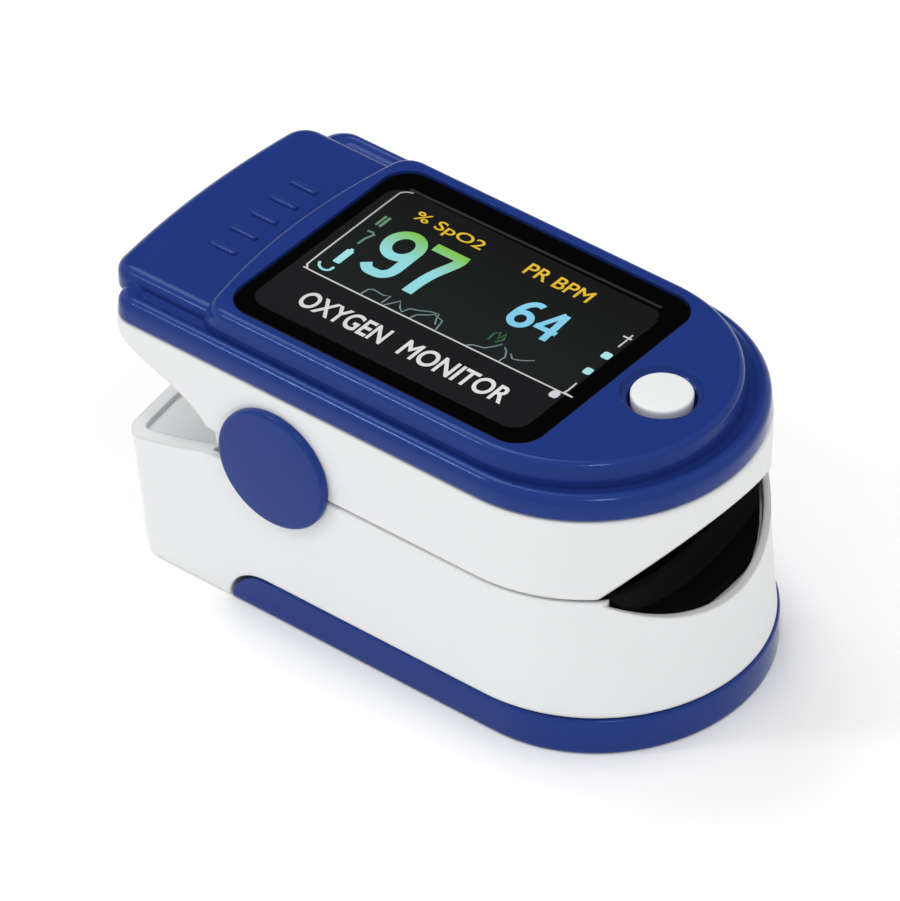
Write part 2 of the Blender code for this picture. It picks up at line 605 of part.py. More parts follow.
def make_lower_pad(material):
    """Black silicone finger rest with a rear stop and a lip that drops to the mouth."""
    edge_z = RIM_Z
    inset = LIP + GAP
    stations = [(CHANNEL_REAR + GAP, False), (CHANNEL_REAR + 1.3, False),
                (CHANNEL_REAR + 1.5, True)]
    stations += [(x, True) for x in (4.0, 10.0, 16.0, 20.0, 22.5, 23.6, 24.0, 24.4, 24.8,
                                     25.2, 26.0, 26.8, 27.5, 27.8)]
    loops = []
    for x, is_open in stations:
        drop = rest_drop(x)
        limit = nose_half(x, LOWER_FRONT - inset, LOWER_NOSE - inset, LOWER_HALF - inset)
        top_r = PAD_R - PAD_WALL + (FLOOR_R + 0.1 - PAD_R + PAD_WALL) * drop
        top_c = PAD_CENTRE_Z + (FLOOR_CENTRE_Z - PAD_CENTRE_Z) * drop
        base_r = PAD_R - 0.2 + (FLOOR_R + 0.9 - PAD_R + 0.2) * drop
        top_half = min(math.sqrt(top_r ** 2 - (top_c - edge_z) ** 2), limit - 0.05)
        base_half = min(math.sqrt(base_r ** 2 - (top_c - edge_z) ** 2), limit)
        top = arc_points(top_c, top_r, top_half, False)
        under = arc_points(top_c, base_r, base_half, False)
        if not is_open:
            top = [(y, edge_z) for y, _ in top]
        loops.append([(x, y, z) for y, z in top + under[::-1]])
    pad = solid("lower_finger_pad", loops, material)
    cut(pad, "sensor_window_hole", rounded_box(
        SENSOR_X - GLASS_X - GAP, SENSOR_X + GLASS_X + GAP, -GLASS_Y - GAP, GLASS_Y + GAP,
        1.0, [(11.0, 0.0), (16.0, 0.0)]))
    return pad


def make_sensor(board_material, chip_material, clear_material):
    """Light sensor under the finger with its board and clear window."""
    solid("sensor_board", box(SENSOR_X - 3.6, SENSOR_X + 3.6, -2.1, 2.1, 11.25, 11.95),
          board_material)
    solid("photodiode", box(SENSOR_X - 1.4, SENSOR_X + 1.4, -1.4, 1.4, 12.05, 13.05),
          chip_material)
    solid("sensor_window", rounded_box(SENSOR_X - GLASS_X, SENSOR_X + GLASS_X, -GLASS_Y, GLASS_Y,
                                       0.8, [(13.25, 0.0), (13.95, 0.0), (14.1, 0.15)]),
          clear_material)


def make_battery_cover(material):
    """Blue sole that slides off forwards, with lips that run over the tray's rails."""
    steps = [(0.0, 0.4), (0.1, 0.15), (0.4, 0.0), (COVER_Z - 0.3, 0.0),
             (COVER_Z - 0.08, 0.1), (COVER_Z, 0.25)]
    cover = solid("battery_cover", layers(COVER, steps), material, None, (8.3, 0.0, 0.0))
    end = COVER_END + [(PAST_TAIL, 6.0), (PAST_TAIL, -1.0)]
    cut(cover, "cover_end", sideways(end, -PAST_SIDE, PAST_SIDE))
    cut(cover, "cover_hollow", layers(COVER, [(1.2, 1.5), (8.0, 1.5)]))
    for side, y0, y1 in both_sides(TRAY_HALF + 0.2, 15.0):
        join(cover, f"cover_lip_{side}", box(-8.0, 13.0, y0, y1, 3.0, 3.6))
    return cover


def make_batteries(material):
    """Two AAA cells side by side, facing opposite ways."""
    places = (("battery_right", -CELL_Y, -22.0, 1.0), ("battery_left", CELL_Y, 20.6, -1.0))
    for name, y, start, way in places:
        steps = [(0.0, 3.0), (0.15, CELL_R - 0.7), (0.5, CELL_R), (42.6, CELL_R),
                 (43.2, CELL_R - 0.5), (43.3, 1.9), (CELL_LENGTH - 0.2, 1.9), (CELL_LENGTH, 1.6)]
        solid(name, barrel(y, CELL_Z, [(start + way * x, r) for x, r in steps]), material)


def make_contacts(material):
    """Spring and plate contacts at both ends of the cells."""
    for name, x, y in (("contact_plate_rear_right", -24.5, -CELL_Y),
                       ("contact_plate_rear_left", -24.5, CELL_Y)):
        solid(name, box(x - 0.2, x + 0.2, y - 4.0, y + 4.0, 2.6, 10.8), material)
    solid("contact_bridge_front", box(23.1, 23.5, -9.6, 9.6, 2.4, 8.9), material)
    for name, x0, x1, y in (("contact_spring_right", -24.0, -22.5, -CELL_Y),
                            ("contact_spring_left", 22.8, 21.1, CELL_Y)):
        points = []
        turns = 3
        count = 14 * turns
        for i in range(count + 1):
            share = i / count
            angle = 2 * math.pi * turns * share
            radius = 3.0 - 1.2 * share
            points.append((x0 + (x1 - x0) * share, y + radius * math.cos(angle),
                           CELL_Z - 0.6 + radius * 0.8 * math.sin(angle)))
        tube(name, points, 0.2, material, None, 1)


def make_hinge(pin_material, spring_material, cap_material):
    """Hinge pin, two torsion springs and the two round caps."""
    solid("hinge_pin", axle(HINGE_X, HINGE_Z, [(-15.0, 0.8), (-14.8, PIN_R), (14.8, PIN_R),
                                               (15.0, 0.8)], 24), pin_material)
    for side, way in (("right", -1.0), ("left", 1.0)):
        steps = [(15.3, 1.4), (15.35, CAP_BOSS_R), (16.15, CAP_BOSS_R),
                 (16.17, CAP_R - 0.12), (16.3, CAP_R), (16.75, CAP_R - 0.05),
                 (16.88, CAP_R - 0.35), (16.98, CAP_R - 1.5), (17.06, CAP_R - 3.4), (17.09, 1.0)]
        solid(f"hinge_cap_{side}", axle(HINGE_X, HINGE_Z, [(way * y, r) for y, r in steps], 48),
              cap_material, None, (HINGE_X, way * 16.2, HINGE_Z))
        tube(f"torsion_spring_{side}", torsion_points(way), 0.3, spring_material, None, 1)


def torsion_points(way):
    """Coil round the pin with one leg up into the upper jaw and one down to the deck."""
    turns = 5
    per_turn = 16
    start = 6.6
    pitch = 0.8
    points = [(HINGE_X + COIL_R, way * start, HINGE_Z + 3.6)]
    points.append((HINGE_X + COIL_R, way * start, HINGE_Z + 1.2))
    for i in range(turns * per_turn + per_turn // 2 + 1):
        angle = -2 * math.pi * i / per_turn
        y = way * (start + pitch * i / per_turn)
        points.append((HINGE_X + COIL_R * math.cos(angle), y,
                       HINGE_Z + COIL_R * math.sin(angle)))
    last = way * (start + pitch * (turns + 0.5))
    points.append((HINGE_X - COIL_R, last, HINGE_Z - 1.5))
    points.append((HINGE_X - COIL_R, last, HINGE_Z - 4.1))
    return points


def make_flex_cable(material):
    """Flat cable from the sensor board round the hinge up to the main board."""
    route = [(10.0, 12.02), (6.0, 11.7), (0.0, 11.6), (-4.2, 11.7), (-5.3, 12.3), (-5.6, 13.5),
             (-5.4, 15.0), (-4.9, 16.6), (-4.7, 18.2), (-5.0, 20.0), (-5.5, 22.0), (-5.6, 23.6),
             (-5.6, 24.9)]
    half_width = 1.5
    half_thickness = 0.12
    loops = []
    for i, (x, z) in enumerate(route):
        before = route[max(i - 1, 0)]
        after = route[min(i + 1, len(route) - 1)]
        along = Vector((after[0] - before[0], after[1] - before[1])).normalized()
        off = Vector((-along.y, along.x)) * half_thickness
        loops.append([(x + off.x, -half_width, z + off.y), (x + off.x, half_width, z + off.y),
                      (x - off.x, half_width, z - off.y), (x - off.x, -half_width, z - off.y)])
    return solid("flex_cable", loops, material)


def build():
    """Build every sub-part."""
    clear_scene()
    blue = plastic("blue_plastic", (0.017, 0.036, 0.22), 0.28)
    white = plastic("white_plastic", (0.84, 0.86, 0.87), 0.35)
    black_glass = plastic("tinted_window", (0.004, 0.004, 0.005), 0.06)
    silicone = plastic("black_silicone", (0.006, 0.006, 0.006), 0.6)
    board = plastic("circuit_board", (0.01, 0.09, 0.03), 0.45)
    chip = plastic("chip_black", (0.01, 0.01, 0.012), 0.4)
    clear = plastic("clear_window", (0.5, 0.06, 0.05), 0.1)
    steel = plastic("spring_steel", (0.62, 0.62, 0.64), 0.25, 1.0)
    cell = plastic("cell_jacket", (0.09, 0.10, 0.11), 0.35)
    film = plastic("flex_film", (0.45, 0.2, 0.03), 0.4)

    upper_jaw = add_empty("upper_jaw", (HINGE_X, 0.0, HINGE_Z))
    make_top_cover(blue, upper_jaw)
    make_upper_frame(white, upper_jaw)
    make_upper_pad(silicone, upper_jaw)
    make_display(black_glass, chip, upper_jaw)
    make_upper_electronics(board, chip, steel, upper_jaw)
    make_power_button(white, upper_jaw)
    make_emitter(board, chip, clear, upper_jaw)
    make_upper_screws(steel, upper_jaw)

    make_lower_shell(white)
    make_lower_pad(silicone)
    make_sensor(board, chip, clear)
    make_battery_cover(blue)
    make_batteries(cell)
    make_contacts(steel)
    make_hinge(steel, steel, blue)
    make_flex_cable(film)


build()
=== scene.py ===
"""Looks of the fingertip pulse oximeter: finer shells, display, materials, light and camera.

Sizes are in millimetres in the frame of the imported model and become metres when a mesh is
made. +X points to the finger mouth, +Y to the left side and +Z up.
"""

import json
import math

import bmesh
import bpy
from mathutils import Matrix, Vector

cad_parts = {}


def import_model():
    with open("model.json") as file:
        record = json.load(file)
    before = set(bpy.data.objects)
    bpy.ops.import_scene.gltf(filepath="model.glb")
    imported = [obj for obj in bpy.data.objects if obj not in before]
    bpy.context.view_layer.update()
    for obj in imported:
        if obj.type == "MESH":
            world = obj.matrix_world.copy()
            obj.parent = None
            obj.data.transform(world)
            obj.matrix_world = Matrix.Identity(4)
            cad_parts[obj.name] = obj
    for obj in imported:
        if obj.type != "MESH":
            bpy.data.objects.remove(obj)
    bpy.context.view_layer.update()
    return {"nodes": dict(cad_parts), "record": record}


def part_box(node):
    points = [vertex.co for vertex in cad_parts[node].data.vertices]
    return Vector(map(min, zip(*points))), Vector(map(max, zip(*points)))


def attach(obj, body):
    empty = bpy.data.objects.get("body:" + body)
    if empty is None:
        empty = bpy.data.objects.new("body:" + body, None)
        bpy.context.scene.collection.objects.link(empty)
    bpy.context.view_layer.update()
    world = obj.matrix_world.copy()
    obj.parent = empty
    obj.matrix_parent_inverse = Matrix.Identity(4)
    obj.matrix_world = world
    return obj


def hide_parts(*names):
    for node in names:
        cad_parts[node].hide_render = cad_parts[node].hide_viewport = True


MM = 0.001

# ---------------------------------------------------------------- outlines of the shells
SKIRT = dict(front=29.15, nose=15.6, half=16.1, rear=-28.8, bow=90.0, corner=2.4)
PAD_TIER = dict(front=10.0, nose=8.0, half=13.5, rear=-30.5, bow=90.0, corner=2.4)
PLATEAU = dict(front=26.9, nose=14.6, half=14.5, rear=-19.9, bow=60.0, corner=2.6)
BAND = dict(front=29.3, nose=15.75, half=16.2, rear=-28.85, bow=90.0, corner=2.4)
SOLE = dict(front=30.5, nose=14.8, half=16.0, rear=-20.0, bow=200.0, corner=1.0)
SHELL = dict(nose=15.75, half=16.05, bow=90.0, corner=2.3)
SHELL_FRONT = 29.3             # nose of the lower shell at the seam
SHELL_FLARE = 1.6              # how far its nose flares at the sole
SHELL_REAR = -27.8
SHELL_TAPER = 1.75             # how far its tail leans in towards the foot
TAIL_TOE = 1.5                 # height of the rounding under the tail

NOSE_STEPS = 96
CORNER_STEPS = 14
REAR_STEPS = 32
ROUND_STEPS = 96
FILLET_STEPS = 8
ARC_STEPS = 64
SHARP_DEGREES = 36.0

PAST_SIDE = 20.0               # cutters that go right through end at these places
PAST_NOSE = 40.0
PAST_TAIL = -34.0
PAST_TOP = 32.0
PAST_FLOOR = -1.0

SEAM_Z = 16.6                  # underside of the white band
RIM_Z = 16.3                   # top of the lower shell
SKIRT_Z = 25.4                 # underside of the skirt
PAD_Z = 28.5                   # thumb pad
PLATEAU_Z = 29.7               # face round the display
COVER_WALL = 1.7
WINDOW_GAP = 0.15              # between the lens and its recess
WINDOW_TURN = 2.9              # corner radius of the recess
WINDOW_FLOOR = 28.65

BUTTON_EDGE = 0.22             # rounding of the button's top edge
DISH_R = 3.73
DISH_DEPTH = 0.7
DISH_GAP = 0.3
SOLE_TOP = 3.8
RIB_PITCH = 2.8
RIB_REAR = -24.4
RIB_FRONT = -21.5
RIB_HALF = 0.35

EAR_IN = 13.35                 # hinge ears of the band, across the object
EAR_OUT = 15.05
EAR_R = 6.1
EAR_REACH = 7.85               # heel of an ear
BRACKET_R = 3.2                # brackets of the lower shell round the pin
ROOF_R = 17.4                  # arc of the finger roof
ROOF_CENTRE_Z = 4.25
MOUTH_R = 15.6                 # arc of the upper lip
MOUTH_CENTRE_Z = 6.9
BOWL_R = 20.4                  # arc of the lower lip
BOWL_CENTRE_Z = 32.7
REST_R = 28.0                  # flatter arc under the finger rest
REST_CENTRE_Z = 40.9
CHANNEL_REAR = -2.3
REST_FRONT = 23.2
ROOF_LIP = 0.8                 # thickness of the band at the mouth
RIM_LIP = 0.6                  # thickness of the lower shell at the mouth
SEAT = 1.2                     # recess behind the silicone
SEAT_HALF = 14.2               # half widths of the arcs
MOUTH_HALF = 14.0
BOWL_HALF = 13.6

TRAY = dict(front=25.4, nose=9.0, half=13.0, rear=-18.0, bow=200.0, corner=1.0)
TRAY_BASE = 1.5                # solid block of the lower shell round the cells
TRAY_TOP = 9.0
CELL_BAY = (-25.0, 21.9, -11.2, 11.2, 1.2, 12.2)
BRIDGE_BAY = (21.0, 23.7, -10.5, 10.5, PAST_FLOOR, 9.2)
TAIL_WALL = 1.5                # wall round the recess in the tail
TAIL_REAR = -26.2
TAIL_FRONT = -3.0
TAIL_FLOOR = 12.45
BRACKET_IN = 11.4              # hinge brackets, across the object
BRACKET_OUT = 12.9
BRACKET_BASE = 12.5
SPRING_HALF = 13.05            # room for the springs in the band
SPRING_R = 5.0
HEAD_R = 2.0                   # recess of a screw head
HEAD_RISE = 0.95               # from the tip of a screw to its seat

CAP_BOSS_R = 1.9               # short neck behind a side cap
CAP_NECK = 16.15
CAP_BACK = 16.17
CAP_WIDEST = 16.27
CAP_EDGE = 16.6                # where the rounding of its rim begins
CAP_TURN = 0.36                # depth and width of that rounding
CAP_INSET = 0.42
CAP_DOME = 16.98
CAP_DOME_SHARE = 0.93

# Rear end of the sole, seen from the side
SOLE_END = [(-13.9, PAST_FLOOR), (-13.85, 0.6), (-13.6, 1.4), (-13.1, 2.2), (-12.2, 3.0),
            (-11.0, 3.55), (-9.2, SOLE_TOP), (-8.0, 6.0)]
# The notch that the sole fills in the lower shell
NOTCH = [(-14.3, PAST_FLOOR), (-14.2, 0.6), (-13.95, 1.6), (-13.35, 2.55), (-12.4, 3.35),
         (-11.1, 3.87), (-9.2, SOLE_TOP + 0.2), (-5.0, SOLE_TOP + 0.2)]
# Underside of the rear of the band, seen from the side
SQUEEZE_EDGE = [(-16.55, 18.2), (-16.8, 18.6), (-17.3, 19.1), (-18.2, 19.8), (-20.15, 20.95),
                (-22.2, 21.8), (-24.3, 22.7), (-26.0, 23.7), (-27.4, 24.5), (-30.0, 24.7),
                (PAST_TAIL, 24.7)]
# Top edge of the lower shell, seen from the side
RIM_EDGE = [(PAST_TAIL, 12.4), (-30.0, 12.6), (-26.8, 12.8), (-24.3, 13.05), (-20.5, 14.0),
            (-17.4, 15.0), (-15.3, 15.35), (-12.0, 15.65), (-8.6, 15.95), (-2.9, RIM_Z)]

# ---------------------------------------------------------------- display drawing
MASK = (-16.0, 14.1, -10.9, 10.0)
MASK_TURN = 1.8
GLOW = (-14.9, 13.8, -4.25, 10.0)
LINE_WIDTH = 0.17
FRAME_PATH = [(-14.0, 9.98), (-14.5, 9.8), (-14.88, 9.4), (-15.0, 8.8), (-15.0, 3.0),
              (-14.95, -3.3), (-14.8, -3.9), (-14.55, -4.2), (-14.1, -4.33), (-4.0, -4.33),
              (13.4, -4.22), (13.75, -4.05), (13.88, -3.6), (13.85, -2.4)]
TOP_LINE = [(-14.6, 10.25), (-6.0, 10.35), (4.0, 10.45), (13.2, 10.55)]
NINE_WIDTH = 1.08
NINE_BOWL = (-9.85, 3.4, 1.5, 1.7)          # centre and half sizes
NINE_TAIL = [(-8.35, 3.6), (-8.33, 1.5), (-8.33, 0.2), (-8.55, -0.5), (-9.0, -0.95),
             (-9.5, -1.07), (-10.2, -1.07), (-10.6, -0.88), (-11.05, -0.38)]
SEVEN_BAR = [(-7.68, 5.07), (-4.08, 5.07)]
SEVEN_STEM = [(-4.55, 5.2), (-4.62, 4.2), (-5.3, 2.0), (-5.56, 0.3), (-5.62, -1.55)]
SIX_WIDTH = 0.68
SIX_BOWL = (4.5, 1.68, 0.88, 0.95)
SIX_TOP = [(5.2, 4.12), (4.8, 4.22), (4.35, 4.05), (3.9, 3.5), (3.65, 2.6), (3.63, 1.5)]
FOUR_DIAGONAL = [(7.42, 4.55), (6.32, 1.95)]
FOUR_BAR = [(6.0, 1.78), (8.32, 1.82)]
FOUR_STEM = [(7.55, 4.52), (7.7, 2.6), (7.8, 0.42)]
PULSE_TRACES = (
    [(-8.6, -4.2), (-8.45, -3.3), (-8.1, -3.05), (-6.9, -3.15), (-6.3, -2.85), (-6.35, -4.1)],
    [(-6.0, -4.2), (-5.2, -2.85), (-4.7, -3.6), (-4.2, -4.0), (-3.9, -3.2), (-3.1, -2.9),
     (-2.2, -2.4), (-1.4, -2.25), (-1.2, -2.9), (-0.8, -3.6)],
    [(-3.1, -4.2), (-2.9, -3.5), (-2.2, -3.0), (-1.7, -2.5), (-0.6, -2.8), (-0.3, -4.1)],
    [(3.1, -4.2), (3.5, -3.8), (4.6, -3.5), (5.2, -2.7), (5.5, -2.1)],
    [(5.9, -2.3), (6.4, -2.7), (6.8, -3.4), (6.7, -4.2)],
    [(6.9, -2.7), (7.4, -3.2), (8.0, -3.0), (8.6, -2.6), (9.1, -2.2)],
)
LEAF = [(4.1, -2.4), (4.0, -1.4), (4.4, -0.9), (4.7, -1.8), (4.95, -0.8), (5.2, -1.6), (4.8, -2.3)]
BATTERY = (-13.5, -12.75, -2.1, 0.1)
BATTERY_TIP = (-13.3, -12.95, 0.1, 0.35)
BARS = ((-13.9, -13.65), (-13.5, -13.2))
HOOK = [(-14.3, -2.8), (-14.0, -3.3), (-13.4, -3.55), (-12.9, -3.3), (-12.8, -2.7)]
SIGN = [(-13.8, 3.2), (-13.3, 3.3), (-12.95, 3.1), (-13.25, 2.2), (-13.3, 1.2)]
SPOTS = ((13.1, 14.0, 1.75, 2.7), (13.2, 14.0, -0.95, 0.0))
PLATE_SPOT = (12.85, 13.75, -5.3, -4.3)
MARK = [(13.0, 5.3), (13.9, 5.35)]
MARK_STEM = [(13.6, 5.9), (13.6, 3.8)]
SATURATION_LABEL = ("% SpO2", (-11.9, -4.3, 6.7, 8.4))
PULSE_LABEL = ("PR BPM", (0.5, 7.6, 6.95, 8.6))
LABEL_WEIGHT = 0.012
WORD_WEIGHT = 0.022
PLATE_WORDS = (("OXYGEN", (-12.3, -2.9, -8.85, -6.5)), ("MONITOR", (-1.1, 10.45, -8.85, -6.5)))

# ---------------------------------------------------------------- view and light
VIEW_AZIMUTH = 38.45
VIEW_ELEVATION = 38.93
VIEW_DISTANCE = 748.7
VIEW_TARGET = (-0.145, -2.308, 15.028)
VIEW_LENS = 340.0
ROOM_LIGHT = 0.76
ROOM_DARK = 0.05
DARK_PATCH = (-0.484, 0.609, 0.628)
DARK_EDGE = (0.80, 0.93)       # cosines where the patch begins and is full
FLOOR_HALF = 6000.0
FLOOR_TONE = 0.97
FLOOR_GLOW = 0.06
# Soft boxes: name, place, side, watts
SOFT_BOXES = (
    ("key_light", (-270.0, 130.0, 520.0), 260.0, 0.9),
    ("side_light", (-290.0, -300.0, 440.0), 76.0, 0.5),
    ("front_light", (220.0, -150.0, 490.0), 90.0, 0.45),
)


# ---------------------------------------------------------------- mesh makers
def plan(front, nose, half, rear, bow, corner, inset=0.0, rear_inset=None):
    """Top view: half-ellipse nose, straight sides, bowed rear edge, round corners."""
    back = rear + (inset if rear_inset is None else rear_inset)
    centre = front - nose
    side = half - inset
    turn = max(corner - inset, 0.5)
    bow_x = back + bow
    turn_x = bow_x - math.sqrt((bow - turn) ** 2 - (side - turn) ** 2)
    sweep = math.atan2(side - turn, turn_x - bow_x)
    nose_points = []
    for i in range(NOSE_STEPS + 1):
        angle = math.pi * (i / NOSE_STEPS - 0.5)
        nose_points.append((centre + (nose - inset) * math.cos(angle), side * math.sin(angle)))
    left = []
    for i in range(CORNER_STEPS + 1):
        angle = math.pi / 2 + (sweep - math.pi / 2) * i / CORNER_STEPS
        left.append((turn_x + turn * math.cos(angle), side - turn + turn * math.sin(angle)))
    rear_points = []
    for i in range(1, REAR_STEPS):
        angle = sweep + 2 * (math.pi - sweep) * i / REAR_STEPS
        rear_points.append((bow_x + bow * math.cos(angle), bow * math.sin(angle)))
    right = [(x, -y) for x, y in reversed(left)]
    return nose_points + left + rear_points + right


def layers(shape, steps):
    """One outline at several heights: steps are (z, inset, rear inset)."""
    return [[(x, y, z) for x, y in plan(**shape, inset=inset, rear_inset=rear)]
            for z, inset, rear in steps]


def fillet(low, high, count=FILLET_STEPS):
    """Quarter-ellipse steps from a wall at low to a flat top at high, (z, inset, rear)."""
    steps = []
    for i in range(count + 1):
        angle = math.pi / 2 * i / count
        rise = math.sin(angle)
        lean = 1.0 - math.cos(angle)
        steps.append((low[0] + (high[0] - low[0]) * rise,
                      low[1] + (high[1] - low[1]) * lean,
                      low[2] + (high[2] - low[2]) * lean))
    return steps


def foot(low, high, count=FILLET_STEPS):
    """Quarter-ellipse steps from a flat underside at low to a wall at high."""
    steps = []
    for i in range(count + 1):
        angle = math.pi / 2 * i / count
        rise = 1.0 - math.cos(angle)
        lean = math.sin(angle)
        steps.append((low[0] + (high[0] - low[0]) * rise,
                      low[1] + (high[1] - low[1]) * lean,
                      low[2] + (high[2] - low[2]) * lean))
    return steps


def rounded_rectangle(x0, x1, y0, y1, turn):
    """Points of a rectangle with round corners."""
    loop = []
    for px, py, start in ((x1 - turn, y1 - turn, 0), (x0 + turn, y1 - turn, 90),
                          (x0 + turn, y0 + turn, 180), (x1 - turn, y0 + turn, 270)):
        for i in range(CORNER_STEPS + 1):
            angle = math.radians(start + 90 * i / CORNER_STEPS)
            loop.append((px + turn * math.cos(angle), py + turn * math.sin(angle)))
    return loop


def post(x, y, steps):
    """An upright round solid: steps are (z, radius)."""
    return [[(x + r * math.cos(2 * math.pi * i / ROUND_STEPS),
              y + r * math.sin(2 * math.pi * i / ROUND_STEPS), z)
             for i in range(ROUND_STEPS)] for z, r in steps]


def axle(x, z, steps):
    """A round solid along Y: steps are (y, radius)."""
    return [[(x + r * math.cos(2 * math.pi * i / ROUND_STEPS), y,
              z + r * math.sin(2 * math.pi * i / ROUND_STEPS))
             for i in range(ROUND_STEPS)] for y, r in steps]


def sideways(profile, y0, y1):
    """Loops of an XZ profile between two places across the object."""
    return [[(x, y, z) for x, z in profile] for y in (y0, y1)]


def lengthways(profile, x0, x1):
    """Loops of a YZ profile between two places along the object."""
    return [[(x, y, z) for y, z in profile] for x in (x0, x1)]


def upright(outline, z0, z1):
    """Loops of an XY outline between two heights."""
    return [[(x, y, z) for x, y in outline] for z in (z0, z1)]


def box(x0, x1, y0, y1, z0, z1):
    """Loops of a plain block."""
    return upright([(x0, y0), (x1, y0), (x1, y1), (x0, y1)], z0, z1)


def smooth_line(points, count=6):
    """A Catmull-Rom curve through points of a plane."""
    padded = [points[0], *points, points[-1]]
    line = []
    for a, b, c, d in zip(padded, padded[1:], padded[2:], padded[3:]):
        for i in range(count):
            t = i / count
            line.append(tuple(
                0.5 * (2 * b[k] + (c[k] - a[k]) * t
                       + (2 * a[k] - 5 * b[k] + 4 * c[k] - d[k]) * t ** 2
                       + (3 * b[k] - a[k] - 3 * c[k] + d[k]) * t ** 3) for k in (0, 1)))
    return line + [points[-1]]


def hollow_arc(centre_z, radius, half, upward, back):
    """A YZ profile: an arc over or under its centre, closed by a straight line at back."""
    sign = 1.0 if upward else -1.0
    limit = math.asin(min(half / radius, 1.0))
    angles = [limit * (2 * i / ARC_STEPS - 1) for i in range(ARC_STEPS + 1)]
    arc = [(radius * math.sin(a), centre_z + sign * radius * math.cos(a)) for a in angles]
    return arc + [(arc[-1][0], back), (arc[0][0], back)]


def sector(x, z, radius, first, last):
    """An XZ pie piece about a centre between two angles in degrees."""
    points = [(x, z)]
    for i in range(CORNER_STEPS + 1):
        angle = math.radians(first + (last - first) * i / CORNER_STEPS)
        points.append((x + radius * math.cos(angle), z + radius * math.sin(angle)))
    return points


def smooth_faces(mesh):
    """Smooth shading that keeps the real corners."""
    mesh.shade_smooth()
    mesh.set_sharp_from_angle(angle=math.radians(SHARP_DEGREES))


def add_object(name, mesh, material):
    """Link a mesh to the scene with one material."""
    item = bpy.data.objects.new(name, mesh)
    bpy.context.scene.collection.objects.link(item)
    mesh.materials.clear()
    mesh.materials.append(material)
    return item


def loft(name, loops, material):
    """A closed solid through equal loops of points, capped at both ends."""
    maker = bmesh.new()
    rings = [[maker.verts.new(Vector(p) * MM) for p in loop] for loop in loops]
    count = len(rings[0])
    for low, high in zip(rings, rings[1:]):
        for i in range(count):
            j = (i + 1) % count
            maker.faces.new((low[i], low[j], high[j], high[i]))
    maker.faces.new(list(reversed(rings[0])))
    maker.faces.new(rings[-1])
    bmesh.ops.recalc_face_normals(maker, faces=maker.faces)
    mesh = bpy.data.meshes.new(name)
    maker.to_mesh(mesh)
    maker.free()
    smooth_faces(mesh)
    return add_object(name, mesh, material)


def combine(item, changes):
    """Cut, join or intersect solids, in order, and keep the result as the object's mesh."""
    tools = []
    for number, (operation, shape) in enumerate(changes):
        tool = shape
        if isinstance(shape, list):
            tool = loft(f"tool_{number}", shape, item.data.materials[0])
        step = item.modifiers.new(tool.name, 'BOOLEAN')
        step.operation = operation
        step.solver = 'EXACT'
        step.object = tool
        tools.append(tool)
    graph = bpy.context.evaluated_depsgraph_get()
    mesh = bpy.data.meshes.new_from_object(item.evaluated_get(graph))
    item.modifiers.clear()
    item.data = mesh
    for tool in tools:
        bpy.data.objects.remove(tool)
    smooth_faces(mesh)
    return item


def carve(item, cutters):
    """Cut solids out of an object."""
    return combine(item, [('DIFFERENCE', loops) for loops in cutters])


def flat(name, loops, z, material):
    """Thin faces lying at one height."""
    maker = bmesh.new()
    for loop in loops:
        maker.faces.new([maker.verts.new(Vector((x, y, z)) * MM) for x, y in loop])
    mesh = bpy.data.meshes.new(name)
    maker.to_mesh(mesh)
    maker.free()
    return add_object(name, mesh, material)


def stroke(points, width):
    """Quads that follow a line of points."""
    half = width / 2
    sides = []
    for i, (x, y) in enumerate(points):
        ax, ay = points[max(i - 1, 0)]
        bx, by = points[min(i + 1, len(points) - 1)]
        length = math.hypot(bx - ax, by - ay)
        ox = -(by - ay) / length * half
        oy = (bx - ax) / length * half
        sides.append(((x + ox, y + oy), (x - ox, y - oy)))
    return [(a[1], b[1], b[0], a[0]) for a, b in zip(sides, sides[1:])]


def ring(x, y, half_x, half_y, width):
    """Quads of an oval line."""
    turns = [2 * math.pi * i / ARC_STEPS for i in range(ARC_STEPS)]
    outer = [(x + (half_x + width / 2) * math.cos(t), y + (half_y + width / 2) * math.sin(t))
             for t in turns]
    inner = [(x + (half_x - width / 2) * math.cos(t), y + (half_y - width / 2) * math.sin(t))
             for t in turns]
    count = len(turns)
    return [(outer[i], outer[(i + 1) % count], inner[(i + 1) % count], inner[i])
            for i in range(count)]


def patch(x0, x1, y0, y1, turn=0.15):
    """A small rectangle with round corners."""
    return [rounded_rectangle(x0, x1, y0, y1, turn)]


def lettering(name, words, area, z, weight, material):
    """Flat letters stretched to fill an area, thickened by a round edge."""
    curve = bpy.data.curves.new(name, 'FONT')
    curve.body = words
    curve.bevel_depth = weight
    curve.resolution_u = 6
    holder = bpy.data.objects.new(name + "_text", curve)
    bpy.context.scene.collection.objects.link(holder)
    graph = bpy.context.evaluated_depsgraph_get()
    mesh = bpy.data.meshes.new_from_object(holder.evaluated_get(graph))
    bpy.data.objects.remove(holder)
    bpy.data.curves.remove(curve)
    xs = [v.co.x for v in mesh.vertices]
    ys = [v.co.y for v in mesh.vertices]
    x0, x1, y0, y1 = area
    for vertex in mesh.vertices:
        across = (vertex.co.x - min(xs)) / (max(xs) - min(xs))
        up = (vertex.co.y - min(ys)) / (max(ys) - min(ys))
        vertex.co = Vector((x0 + (x1 - x0) * across, y0 + (y1 - y0) * up, z)) * MM
    mesh.name = name
    return add_object(name, mesh, material)


# ---------------------------------------------------------------- materials
def node(tree, kind, **inputs):
    """A shader node with its inputs set by name."""
    made = tree.nodes.new(kind)
    for name, value in inputs.items():
        made.inputs[name.replace("_", " ")].default_value = value
    return made


